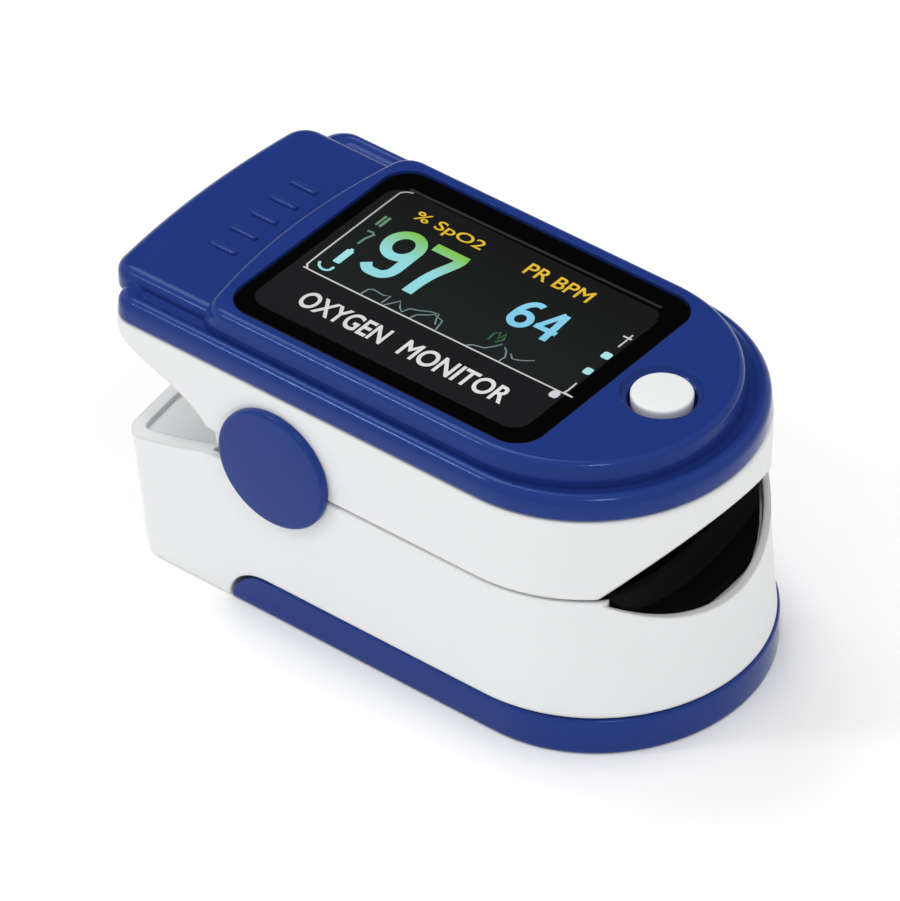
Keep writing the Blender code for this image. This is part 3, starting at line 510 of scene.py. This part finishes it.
def moulded(name, colour, roughness, specular=0.5, metallic=0.0, grain=0.00001,
            grain_scale=5200.0, tone=0.04, edge=0.00018, tint=(1.0, 1.0, 1.0)):
    """Moulded surface: fine grain, slow changes of tone and gloss, and softened edges."""
    material = bpy.data.materials.new(name)
    material.use_nodes = True
    tree = material.node_tree
    shader = tree.nodes["Principled BSDF"]
    shader.inputs["Specular IOR Level"].default_value = specular
    shader.inputs["Specular Tint"].default_value = (*tint, 1.0)
    shader.inputs["Metallic"].default_value = metallic
    place = tree.nodes.new("ShaderNodeTexCoord")
    slow = node(tree, "ShaderNodeTexNoise", Scale=110.0, Detail=3.0)
    fine = node(tree, "ShaderNodeTexNoise", Scale=grain_scale, Detail=2.0)
    tree.links.new(place.outputs["Object"], slow.inputs["Vector"])
    tree.links.new(place.outputs["Object"], fine.inputs["Vector"])
    ramp = tree.nodes.new("ShaderNodeValToRGB")
    ramp.color_ramp.elements[0].position = 0.2
    ramp.color_ramp.elements[1].position = 0.8
    ramp.color_ramp.elements[0].color = (*[c * (1.0 - tone) for c in colour], 1.0)
    ramp.color_ramp.elements[1].color = (*[min(c * (1.0 + tone), 1.0) for c in colour], 1.0)
    tree.links.new(slow.outputs["Fac"], ramp.inputs["Fac"])
    tree.links.new(ramp.outputs["Color"], shader.inputs["Base Color"])
    gloss = node(tree, "ShaderNodeMapRange", From_Min=0.2, From_Max=0.8,
                 To_Min=roughness * 0.9, To_Max=roughness * 1.1)
    tree.links.new(slow.outputs["Fac"], gloss.inputs["Value"])
    tree.links.new(gloss.outputs["Result"], shader.inputs["Roughness"])
    soften = node(tree, "ShaderNodeBevel", Radius=edge)
    soften.samples = 6
    bump = node(tree, "ShaderNodeBump", Distance=grain, Strength=0.6)
    tree.links.new(fine.outputs["Fac"], bump.inputs["Height"])
    tree.links.new(soften.outputs["Normal"], bump.inputs["Normal"])
    tree.links.new(bump.outputs["Normal"], shader.inputs["Normal"])
    return material


def lit_ink(name, low, high, z_axis, span, strength, noise=0.06):
    """Glowing display colour that runs from low to high along one axis of the object."""
    material = bpy.data.materials.new(name)
    material.use_nodes = True
    tree = material.node_tree
    shader = tree.nodes["Principled BSDF"]
    shader.inputs["Roughness"].default_value = 0.35
    shader.inputs["Specular IOR Level"].default_value = 0.1
    shader.inputs["Emission Strength"].default_value = strength
    place = tree.nodes.new("ShaderNodeTexCoord")
    split = tree.nodes.new("ShaderNodeSeparateXYZ")
    tree.links.new(place.outputs["Object"], split.inputs["Vector"])
    along = node(tree, "ShaderNodeMapRange", From_Min=span[0] * MM, From_Max=span[1] * MM)
    tree.links.new(split.outputs[z_axis], along.inputs["Value"])
    dots = node(tree, "ShaderNodeTexNoise", Scale=2600.0, Detail=1.0)
    tree.links.new(place.outputs["Object"], dots.inputs["Vector"])
    shift = node(tree, "ShaderNodeMapRange", To_Min=-noise, To_Max=noise)
    tree.links.new(dots.outputs["Fac"], shift.inputs["Value"])
    total = tree.nodes.new("ShaderNodeMath")
    total.operation = 'ADD'
    tree.links.new(along.outputs["Result"], total.inputs[0])
    tree.links.new(shift.outputs["Result"], total.inputs[1])
    ramp = tree.nodes.new("ShaderNodeValToRGB")
    ramp.color_ramp.elements[0].color = (*low, 1.0)
    ramp.color_ramp.elements[1].color = (*high, 1.0)
    tree.links.new(total.outputs["Value"], ramp.inputs["Fac"])
    tree.links.new(ramp.outputs["Color"], shader.inputs["Emission Color"])
    shader.inputs["Base Color"].default_value = (0.0, 0.0, 0.0, 1.0)
    return material


def make_materials():
    """Every material, by its slot in the record."""
    return {
        "blue_plastic": moulded("blue_abs", (0.0142, 0.035, 0.194), 0.13, 0.25, tone=0.05,
                                edge=0.00005, tint=(0.35, 0.58, 1.0)),
        "white_plastic": moulded("white_abs", (0.785, 0.793, 0.800), 0.38, 0.35, tone=0.008,
                                 grain=0.000012, edge=0.0004),
        "tinted_window": moulded("black_acrylic", (0.0012, 0.0012, 0.0014), 0.08, 0.05,
                                 grain=0.000001, edge=0.00005),
        "black_silicone": moulded("silicone", (0.0022, 0.0022, 0.0024), 0.6, 0.08,
                                  grain=0.00003, grain_scale=3800.0),
        "circuit_board": moulded("solder_mask", (0.008, 0.085, 0.03), 0.38, grain=0.00002,
                                 grain_scale=2400.0, tone=0.12),
        "chip_black": moulded("epoxy", (0.009, 0.009, 0.010), 0.5, grain=0.00003),
        "clear_window": moulded("red_window", (0.28, 0.03, 0.025), 0.12, grain=0.000002),
        "spring_steel": moulded("nickel_steel", (0.55, 0.55, 0.57), 0.28, metallic=1.0,
                                grain=0.000008, grain_scale=3000.0, edge=0.00008),
        "cell_jacket": moulded("cell_print", (0.06, 0.065, 0.075), 0.3, tone=0.15,
                               grain=0.000006),
        "flex_film": moulded("polyimide", (0.42, 0.17, 0.02), 0.3, tone=0.1,
                             grain=0.00001),
    }


# ---------------------------------------------------------------- blue covers
def make_skirt(material):
    """Band round the upper jaw with a rounded top edge and a groove inside it."""
    steps = foot((SKIRT_Z, 0.25, 0.25), (SKIRT_Z + 0.25, 0.0, 0.0), 4)
    steps += fillet((26.7, 0.06, 0.1), (27.7, 1.0, 1.8))
    steps += [(27.62, 1.25, 2.0), (27.45, 1.45, 2.2), (27.35, 1.8, 2.5), (27.35, 2.4, 3.0)]
    skirt = loft("cover_skirt", layers(SKIRT, steps), material)
    hollow = [(SKIRT_Z - 1.0, COVER_WALL, COVER_WALL), (26.9, COVER_WALL, COVER_WALL + 0.9)]
    return carve(skirt, [layers(SKIRT, hollow)])


def make_thumb_pad(material):
    """Raised pad behind the display, rounded all round."""
    steps = foot((26.0, 0.3, 0.3), (26.3, 0.0, 0.0), 4)
    steps += fillet((27.45, 0.0, 0.0), (PAD_Z, 1.15, 1.25))
    return loft("cover_thumb_pad", layers(PAD_TIER, steps), material)


def make_grip_ribs(material):
    """Five plain ribs pressed up out of the thumb pad."""
    ribs = []
    for number in range(5):
        y = RIB_PITCH * (number - 2)
        loops = []
        for z, inset, _ in [(28.3, 0.0, 0.0)] + fillet((28.62, 0.0, 0.0), (28.82, 0.2, 0.2), 5):
            half = RIB_HALF - inset
            loop = rounded_rectangle(RIB_REAR + inset, RIB_FRONT - inset, y - half, y + half,
                                     half - 0.005)
            loops.append([(px, py, z) for px, py in loop])
        ribs.append(loft(f"grip_rib_{number}", loops, material))
    return ribs


def make_plateau(material, lens, button):
    """Face round the display with the recess for the lens and the button's dish."""
    steps = [(27.0, 0.0, -0.6), (28.0, 0.0, -0.6), (28.3, 0.05, -0.4), (28.6, 0.12, -0.1)]
    steps += fillet((29.0, 0.22, 0.1), (PLATEAU_Z, 1.0, 0.95), 10)
    plateau = loft("cover_plateau", layers(PLATEAU, steps), material)
    low, high = lens
    recess = rounded_rectangle(low.x / MM - WINDOW_GAP, high.x / MM + WINDOW_GAP,
                               low.y / MM - WINDOW_GAP, high.y / MM + WINDOW_GAP, WINDOW_TURN)
    centre = (button[0] + button[1]) / 2 / MM
    hole = (button[1].x - button[0].x) / 2 / MM + DISH_GAP
    dish = [(26.0, hole)]
    for i in range(FILLET_STEPS + 1):
        angle = math.pi / 2 * i / FILLET_STEPS
        dish.append((PLATEAU_Z - DISH_DEPTH * math.cos(angle),
                     hole + (DISH_R - hole) * (0.35 * math.sin(angle) + 0.65 * i / FILLET_STEPS)))
    dish.append((PLATEAU_Z + 0.1, DISH_R + 0.05))
    dish.append((PLATEAU_Z + 1.0, DISH_R + 0.1))
    return carve(plateau, [upright(recess, WINDOW_FLOOR, 31.0), post(centre.x, centre.y, dish)])


def make_top_cover(materials, lens, button):
    """All parts of the blue cover on the upper jaw."""
    blue = materials["blue_plastic"]
    plateau = make_plateau(blue, lens, button)
    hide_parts("top_cover")
    for piece in [plateau, make_skirt(blue), make_thumb_pad(blue), *make_grip_ribs(blue)]:
        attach(piece, "upper_jaw")


def make_sole(material):
    """Blue battery cover under the lower jaw."""
    steps = foot((0.0, 0.4, 0.4), (0.5, 0.0, 0.0), 5)
    steps += fillet((SOLE_TOP - 0.35, 0.0, 0.0), (SOLE_TOP, 0.35, 0.35), 6)
    sole = loft("battery_sole", layers(SOLE, steps), material)
    end = smooth_line(SOLE_END) + [(PAST_TAIL, 6.0), (PAST_TAIL, PAST_FLOOR)]
    hollow = [(1.2, 1.5, 1.5), (8.0, 1.5, 1.5)]
    carve(sole, [sideways(end, -PAST_SIDE, PAST_SIDE), layers(SOLE, hollow)])
    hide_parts("battery_cover")
    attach(sole, "battery_cover")
    return sole


def make_band(material, hinge):
    """White band of the upper jaw, with the finger roof, the hinge ears and screw holes."""
    steps = foot((SEAM_Z, 0.5, 0.5), (SEAM_Z + 0.35, 0.12, 0.12), 6)
    steps += fillet((SKIRT_Z - 0.5, 0.0, 0.0), (SKIRT_Z - 0.12, 0.5, 0.5), 6)
    band = loft("white_band", layers(BAND, steps), material)
    gap = smooth_line(SQUEEZE_EDGE) + [(PAST_TAIL, 10.0), (hinge.x, 10.0), (hinge.x, hinge.z)]
    seat = hollow_arc(ROOF_CENTRE_Z, ROOF_R + SEAT, 15.0, True, 5.0)
    roof = loft("roof_seat", lengthways(seat, CHANNEL_REAR, PAST_NOSE), material)
    limit = [(4.0, ROOF_LIP, ROOF_LIP), (24.0, ROOF_LIP, ROOF_LIP)]
    combine(roof, [('INTERSECT', layers(BAND, limit))])
    mouth = hollow_arc(MOUTH_CENTRE_Z, MOUTH_R, MOUTH_HALF, True, 5.0)
    springs = [(-SPRING_HALF, SPRING_R), (SPRING_HALF, SPRING_R)]
    changes = [('DIFFERENCE', sideways(gap, -PAST_SIDE, PAST_SIDE)), ('DIFFERENCE', roof),
               ('DIFFERENCE', lengthways(mouth, 15.0, PAST_NOSE)),
               ('DIFFERENCE', axle(hinge.x, hinge.z, springs))]
    for way in (-1.0, 1.0):
        y0, y1 = sorted((way * EAR_IN, way * EAR_OUT))
        changes.append(('UNION', axle(hinge.x, hinge.z, [(y0, EAR_R), (y1, EAR_R)])))
        heel = sector(hinge.x, hinge.z, EAR_REACH, 174.0, 197.0)
        changes.append(('UNION', sideways(heel, y0, y1)))
    for name in ("front_right", "front_left", "rear_right", "rear_left"):
        low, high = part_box(f"screw_{name}")
        centre = (low + high) / 2 / MM
        steps = [(10.0, HEAD_R), (low.z / MM + HEAD_RISE, HEAD_R)]
        changes.append(('DIFFERENCE', post(centre.x, centre.y, steps)))
    return combine(band, changes)


def shell_outline(z, inset):
    """Outline of the lower shell at one height: flared nose, tail that leans in."""
    down = max((RIM_Z - z) / RIM_Z, 0.0)
    lean = SHELL_TAPER * max(1.0 - z / 13.5, 0.0) ** 0.7
    lean += 0.8 * max(1.0 - z / TAIL_TOE, 0.0) ** 2
    return plan(front=SHELL_FRONT + SHELL_FLARE * down ** 1.5, rear=SHELL_REAR + lean,
                inset=inset, **SHELL)


def make_shell(material, hinge):
    """White body of the lower jaw with its rim, finger rest and hinge brackets."""
    steps = [(0.0, 0.45, 0.0), (0.12, 0.2, 0.0), (0.4, 0.05, 0.0), (0.9, 0.0, 0.0),
             (1.4, 0.0, 0.0), (2.0, 0.0, 0.0)]
    steps += [(2.0 + 1.1 * i, 0.0, 0.0) for i in range(1, 13)]
    steps += fillet((RIM_Z - 0.4, 0.0, 0.0), (RIM_Z - 0.02, 0.3, 0.3), 5)
    steps.append((RIM_Z + 0.3, 0.5, 0.5))
    shell = loft("white_shell", [[(x, y, z) for x, y in shell_outline(z, inset)]
                                 for z, inset, _ in steps], material)
    notch = smooth_line(NOTCH) + [(PAST_NOSE, SOLE_TOP + 0.2), (PAST_NOSE, PAST_FLOOR)]
    rim = smooth_line(RIM_EDGE) + [(PAST_NOSE, RIM_Z), (PAST_NOSE, PAST_TOP),
                                   (PAST_TAIL, PAST_TOP)]
    tail = [(max(min(x, TAIL_FRONT), TAIL_REAR), y) for x, y in shell_outline(14.0, TAIL_WALL)]
    bowl = hollow_arc(BOWL_CENTRE_Z, BOWL_R, BOWL_HALF, False, 24.0)
    changes = [('DIFFERENCE', sideways(notch, -PAST_SIDE, PAST_SIDE)),
               ('UNION', upright(plan(**TRAY), TRAY_BASE, TRAY_TOP)),
               ('DIFFERENCE', sideways(rim, -PAST_SIDE, PAST_SIDE)),
               ('DIFFERENCE', upright(tail, TAIL_FLOOR, 20.0)),
               ('DIFFERENCE', box(*CELL_BAY)),
               ('DIFFERENCE', box(*BRIDGE_BAY)),
               ('DIFFERENCE', make_rest(material)),
               ('DIFFERENCE', lengthways(bowl, REST_FRONT + 1.0, PAST_NOSE))]
    for way in (-1.0, 1.0):
        y0, y1 = sorted((way * BRACKET_IN, way * BRACKET_OUT))
        bracket = [(hinge.x + BRACKET_R, BRACKET_BASE), (hinge.x + BRACKET_R, hinge.z)]
        bracket += sector(hinge.x, hinge.z, BRACKET_R, 0.0, 180.0)[2:]
        bracket.append((hinge.x - BRACKET_R, BRACKET_BASE))
        changes.append(('UNION', sideways(bracket, y0, y1)))
        y0, y1 = sorted((way * (EAR_IN - 0.3), way * (EAR_OUT + 0.3)))
        room = [(y0, EAR_R + 0.3), (y1, EAR_R + 0.3)]
        changes.append(('DIFFERENCE', axle(hinge.x, hinge.z, room)))
        heel = sector(hinge.x, hinge.z, EAR_REACH + 0.3, 166.0, 222.0)
        changes.append(('DIFFERENCE', sideways(heel, y0, y1)))
    return combine(shell, changes)


def make_rest(material):
    """The hollow under the finger pad: flat over the cells, deeper behind the mouth."""
    rest = hollow_arc(REST_CENTRE_Z, REST_R, SEAT_HALF, False, 24.0)
    hollow = loft("rest_hollow", lengthways(rest, CHANNEL_REAR, REST_FRONT + 0.1), material)
    bowl = hollow_arc(BOWL_CENTRE_Z, BOWL_R + SEAT, SEAT_HALF, False, 23.0)
    return combine(hollow, [('UNION', lengthways(bowl, REST_FRONT, PAST_NOSE)),
                            ('INTERSECT', upright(shell_outline(RIM_Z, RIM_LIP), 5.0, 22.0))])


def make_white_shells(material, hinge):
    """The two white shells on their jaws."""
    for piece, node_name, body in ((make_band(material, hinge), "upper_frame", "upper_jaw"),
                                   (make_shell(material, hinge), "lower_shell", "base")):
        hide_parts(node_name)
        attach(piece, body)


def make_cap(side, limits, material):
    """Round cap over the hinge with a domed face and a soft edge."""
    low, high = limits
    centre_x = (low.x + high.x) / 2 / MM
    centre_z = (low.z + high.z) / 2 / MM
    radius = (high.x - low.x) / 2 / MM
    way = 1.0 if side == "left" else -1.0
    face = max(abs(low.y), abs(high.y)) / MM
    back = min(abs(low.y), abs(high.y)) / MM
    steps = [(back, CAP_BOSS_R), (CAP_NECK, CAP_BOSS_R), (CAP_BACK, radius - 0.1),
             (CAP_WIDEST, radius)]
    for i in range(FILLET_STEPS + 1):
        angle = math.pi / 2 * i / FILLET_STEPS
        steps.append((CAP_EDGE + CAP_TURN * math.sin(angle),
                      radius - CAP_INSET * (1 - math.cos(angle))))
    for share in (0.75, 0.5, 0.25, 0.05):
        steps.append((face - (face - CAP_DOME) * share ** 2, radius * share * CAP_DOME_SHARE))
    cap = loft(f"side_cap_{side}", axle(centre_x, centre_z, [(way * y, r) for y, r in steps]),
               material)
    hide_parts(f"hinge_cap_{side}")
    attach(cap, "base")
    return cap


def make_button(limits, material):
    """White push button with a soft edge and a faintly crowned top."""
    low, high = limits
    centre = (low + high) / 2 / MM
    radius = (high.x - low.x) / 2 / MM
    top = high.z / MM
    steps = [(low.z / MM, 1.2), (low.z / MM + 0.05, radius - 0.05)]
    for i in range(FILLET_STEPS + 1):
        angle = math.pi / 2 * i / FILLET_STEPS
        steps.append((top - 0.03 - BUTTON_EDGE * (1 - math.sin(angle)),
                      radius - BUTTON_EDGE * (1 - math.cos(angle))))
    steps += [(top - 0.01, radius * 0.5), (top, radius * 0.1)]
    button = loft("push_button", post(centre.x, centre.y, steps), material)
    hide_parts("power_button")
    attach(button, "power_button")
    return button


# ---------------------------------------------------------------- display
def show(pieces):
    """The drawing belongs to the lens and moves with the upper jaw."""
    for piece in pieces:
        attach(piece, "upper_jaw")


def draw_display(z):
    """Printed mask with the darker lit area inside it."""
    grey = moulded("print_mask", (0.0085, 0.0078, 0.0092), 0.35, 0.06, grain=0.000002)
    glow = lit_ink("panel_glow", (0.0085, 0.0110, 0.0108), (0.0050, 0.0050, 0.0054), "Y",
                   (-2.0, 9.5), 1.0, 0.3)
    show([flat("display_mask", [rounded_rectangle(*MASK, MASK_TURN)], z, grey),
          flat("display_area", [rounded_rectangle(*GLOW, 1.0)], z + 0.01, glow)])


def draw_frame(z):
    """Thin frame line round the lit area and a faint line along its far edge."""
    bright = lit_ink("frame_ink", (0.62, 0.64, 0.63), (0.40, 0.42, 0.40), "Y", (-4.3, 9.0), 0.95)
    faint = lit_ink("faint_ink", (0.028, 0.028, 0.028), (0.022, 0.022, 0.022), "X",
                    (-14.0, 13.0), 1.0)
    show([flat("frame_line", stroke(smooth_line(FRAME_PATH, 3), LINE_WIDTH), z, bright),
          flat("far_line", stroke(TOP_LINE, 0.3), z, faint)])


def draw_numbers(z):
    """The two readings and their unit labels."""
    reading = lit_ink("reading_ink", (0.30, 0.72, 0.76), (0.23, 0.58, 0.085), "Y", (2.0, 5.4), 0.95)
    rate = lit_ink("rate_ink", (0.22, 0.62, 0.84), (0.26, 0.66, 0.88), "Y", (0.4, 4.6), 0.95)
    amber = lit_ink("label_ink", (0.74, 0.46, 0.03), (0.82, 0.54, 0.05), "Y", (6.7, 8.6), 0.95)
    nine = ring(*NINE_BOWL, NINE_WIDTH) + stroke(smooth_line(NINE_TAIL, 4), NINE_WIDTH)
    seven = stroke(SEVEN_BAR, NINE_WIDTH) + stroke(smooth_line(SEVEN_STEM, 4), NINE_WIDTH)
    six = ring(*SIX_BOWL, SIX_WIDTH) + stroke(smooth_line(SIX_TOP, 4), SIX_WIDTH)
    four = stroke(FOUR_DIAGONAL, 0.55) + stroke(FOUR_BAR, 0.6) + stroke(FOUR_STEM, SIX_WIDTH)
    show([flat("reading_nine", nine, z, reading), flat("reading_seven", seven, z, reading),
          flat("rate_six", six, z, rate), flat("rate_four", four, z, rate),
          lettering("label_saturation", *SATURATION_LABEL, z, LABEL_WEIGHT, amber),
          lettering("label_rate", *PULSE_LABEL, z, LABEL_WEIGHT, amber)])


def draw_marks(z):
    """Pulse traces, battery sign and the small lit marks at both sides."""
    pale = lit_ink("trace_ink", (0.24, 0.34, 0.36), (0.14, 0.22, 0.22), "Y", (-4.2, -2.2), 0.9, 0.3)
    green = lit_ink("leaf_ink", (0.03, 0.12, 0.04), (0.05, 0.17, 0.06), "Y", (-2.4, -0.8), 0.9, 0.3)
    cyan = lit_ink("sign_ink", (0.36, 0.78, 0.80), (0.42, 0.80, 0.82), "Y", (-2.2, 3.0), 0.95)
    dim = lit_ink("dim_ink", (0.12, 0.30, 0.25), (0.16, 0.30, 0.17), "Y", (1.0, 6.0), 0.9, 0.3)
    white = lit_ink("spot_ink", (0.66, 0.66, 0.74), (0.60, 0.62, 0.66), "Y", (-5.3, 6.0), 0.95)
    traces = [quad for points in PULSE_TRACES for quad in stroke(points, 0.15)]
    bars = [loop for x0, x1 in BARS for loop in patch(x0, x1, 4.3, 5.9, 0.1)]
    spots = [loop for area in SPOTS for loop in patch(*area, 0.25)]
    show([flat("pulse_traces", traces, z, pale), flat("leaf_mark", stroke(LEAF, 0.22), z, green),
          flat("battery_sign", patch(*BATTERY) + patch(*BATTERY_TIP, 0.1), z, cyan),
          flat("left_bars", bars, z, dim), flat("left_sign", stroke(SIGN, 0.24), z, dim),
          flat("left_hook", stroke(smooth_line(HOOK, 4), 0.26), z, cyan),
          flat("right_spots", spots, z, cyan),
          flat("plate_spot", patch(*PLATE_SPOT, 0.35), z, white),
          flat("right_mark", stroke(MARK, 0.2) + stroke(MARK_STEM, 0.16), z, white)])


def draw_words(z):
    """Two plain words printed under the display area, in white ink that glows by itself: painted
    light in place of lamp light on the print, a little lighter towards the nose.
    """
    # Self-lit white print: painted light standing in for the light that falls on the words, lighter
    # towards the nose.
    white = lit_ink("print_white_painted_glow", (0.70, 0.70, 0.70), (0.78, 0.78, 0.78), "X", (-12.3, 10.5),
                    0.95)
    show([lettering(f"plate_word_{number}", words, area, z, WORD_WEIGHT, white)
          for number, (words, area) in enumerate(PLATE_WORDS)])


# ---------------------------------------------------------------- stage
def make_stage():
    """Pale floor, soft light from a bright room and three soft boxes."""
    floor_material = bpy.data.materials.new("floor")
    floor_material.use_nodes = True
    shader = floor_material.node_tree.nodes["Principled BSDF"]
    shader.inputs["Base Color"].default_value = (FLOOR_TONE, FLOOR_TONE, FLOOR_TONE, 1.0)
    shader.inputs["Roughness"].default_value = 0.9
    shader.inputs["Specular IOR Level"].default_value = 0.0
    shader.inputs["Emission Color"].default_value = (1.0, 1.0, 1.0, 1.0)
    shader.inputs["Emission Strength"].default_value = FLOOR_GLOW
    corners = [(-FLOOR_HALF, -FLOOR_HALF), (FLOOR_HALF, -FLOOR_HALF),
               (FLOOR_HALF, FLOOR_HALF), (-FLOOR_HALF, FLOOR_HALF)]
    floor = flat("floor", [corners], 0.0, floor_material)
    world = bpy.data.worlds.new("room")
    world.use_nodes = True
    shade_room(world.node_tree)
    bpy.context.scene.world = world
    for light in SOFT_BOXES:
        add_softbox(*light)


def shade_room(tree):
    """White room with one dark soft patch, high up behind the object."""
    sky = tree.nodes["Background"]
    sky.inputs["Strength"].default_value = 1.0
    place = tree.nodes.new("ShaderNodeTexCoord")
    toward = tree.nodes.new("ShaderNodeVectorMath")
    toward.operation = 'DOT_PRODUCT'
    toward.inputs[1].default_value = DARK_PATCH
    tree.links.new(place.outputs["Generated"], toward.inputs[0])
    patch = node(tree, "ShaderNodeMapRange", From_Min=DARK_EDGE[0], From_Max=DARK_EDGE[1],
                 To_Min=ROOM_LIGHT, To_Max=ROOM_DARK)
    patch.interpolation_type = 'SMOOTHSTEP'
    tree.links.new(toward.outputs["Value"], patch.inputs["Value"])
    tree.links.new(patch.outputs["Result"], sky.inputs["Color"])


def add_softbox(name, place, size, power):
    """A square soft box that faces the object."""
    light = bpy.data.lights.new(name, 'AREA')
    light.shape = 'SQUARE'
    light.size = size * MM
    light.energy = power
    item = bpy.data.objects.new(name, light)
    item.location = Vector(place) * MM
    item.rotation_mode = 'QUATERNION'
    item.rotation_quaternion = (-Vector(place)).to_track_quat('-Z', 'Y')
    bpy.context.scene.collection.objects.link(item)


def make_camera():
    """Long lens from the front right, above the object."""
    azimuth = math.radians(VIEW_AZIMUTH)
    elevation = math.radians(VIEW_ELEVATION)
    back = Vector((math.sin(azimuth) * math.cos(elevation),
                   -math.cos(azimuth) * math.cos(elevation), math.sin(elevation)))
    data = bpy.data.cameras.new("camera")
    data.lens = VIEW_LENS
    data.sensor_width = 36.0
    data.clip_start = 0.01
    data.clip_end = 20.0
    item = bpy.data.objects.new("camera", data)
    item.location = (Vector(VIEW_TARGET) + back * VIEW_DISTANCE) * MM
    item.rotation_mode = 'QUATERNION'
    item.rotation_quaternion = (-back).to_track_quat('-Z', 'Y')
    bpy.context.scene.collection.objects.link(item)
    bpy.context.scene.camera = item


def paint_nodes(frame, materials):
    """Give every carried-over node the finish of its slot in the record."""
    for subpart in frame["record"]["subparts"]:
        item = frame["nodes"][subpart["node"]]
        for number in range(len(item.material_slots)):
            item.material_slots[number].material = materials[subpart["material_slot"]]


def build():
    """Build the whole picture."""
    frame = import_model()
    bpy.context.scene.view_settings.view_transform = 'Standard'
    materials = make_materials()
    paint_nodes(frame, materials)
    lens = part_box("display_lens")
    make_top_cover(materials, lens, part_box("power_button"))
    make_sole(materials["blue_plastic"])
    for side in ("left", "right"):
        make_cap(side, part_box(f"hinge_cap_{side}"), materials["blue_plastic"])
    make_button(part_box("power_button"), materials["white_plastic"])
    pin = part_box("hinge_pin")
    make_white_shells(materials["white_plastic"], (pin[0] + pin[1]) / 2 / MM)
    surface = lens[1].z / MM
    draw_display(surface + 0.01)
    for draw in (draw_frame, draw_numbers, draw_marks, draw_words):
        draw(surface + 0.03)
    make_stage()
    make_camera()


build()
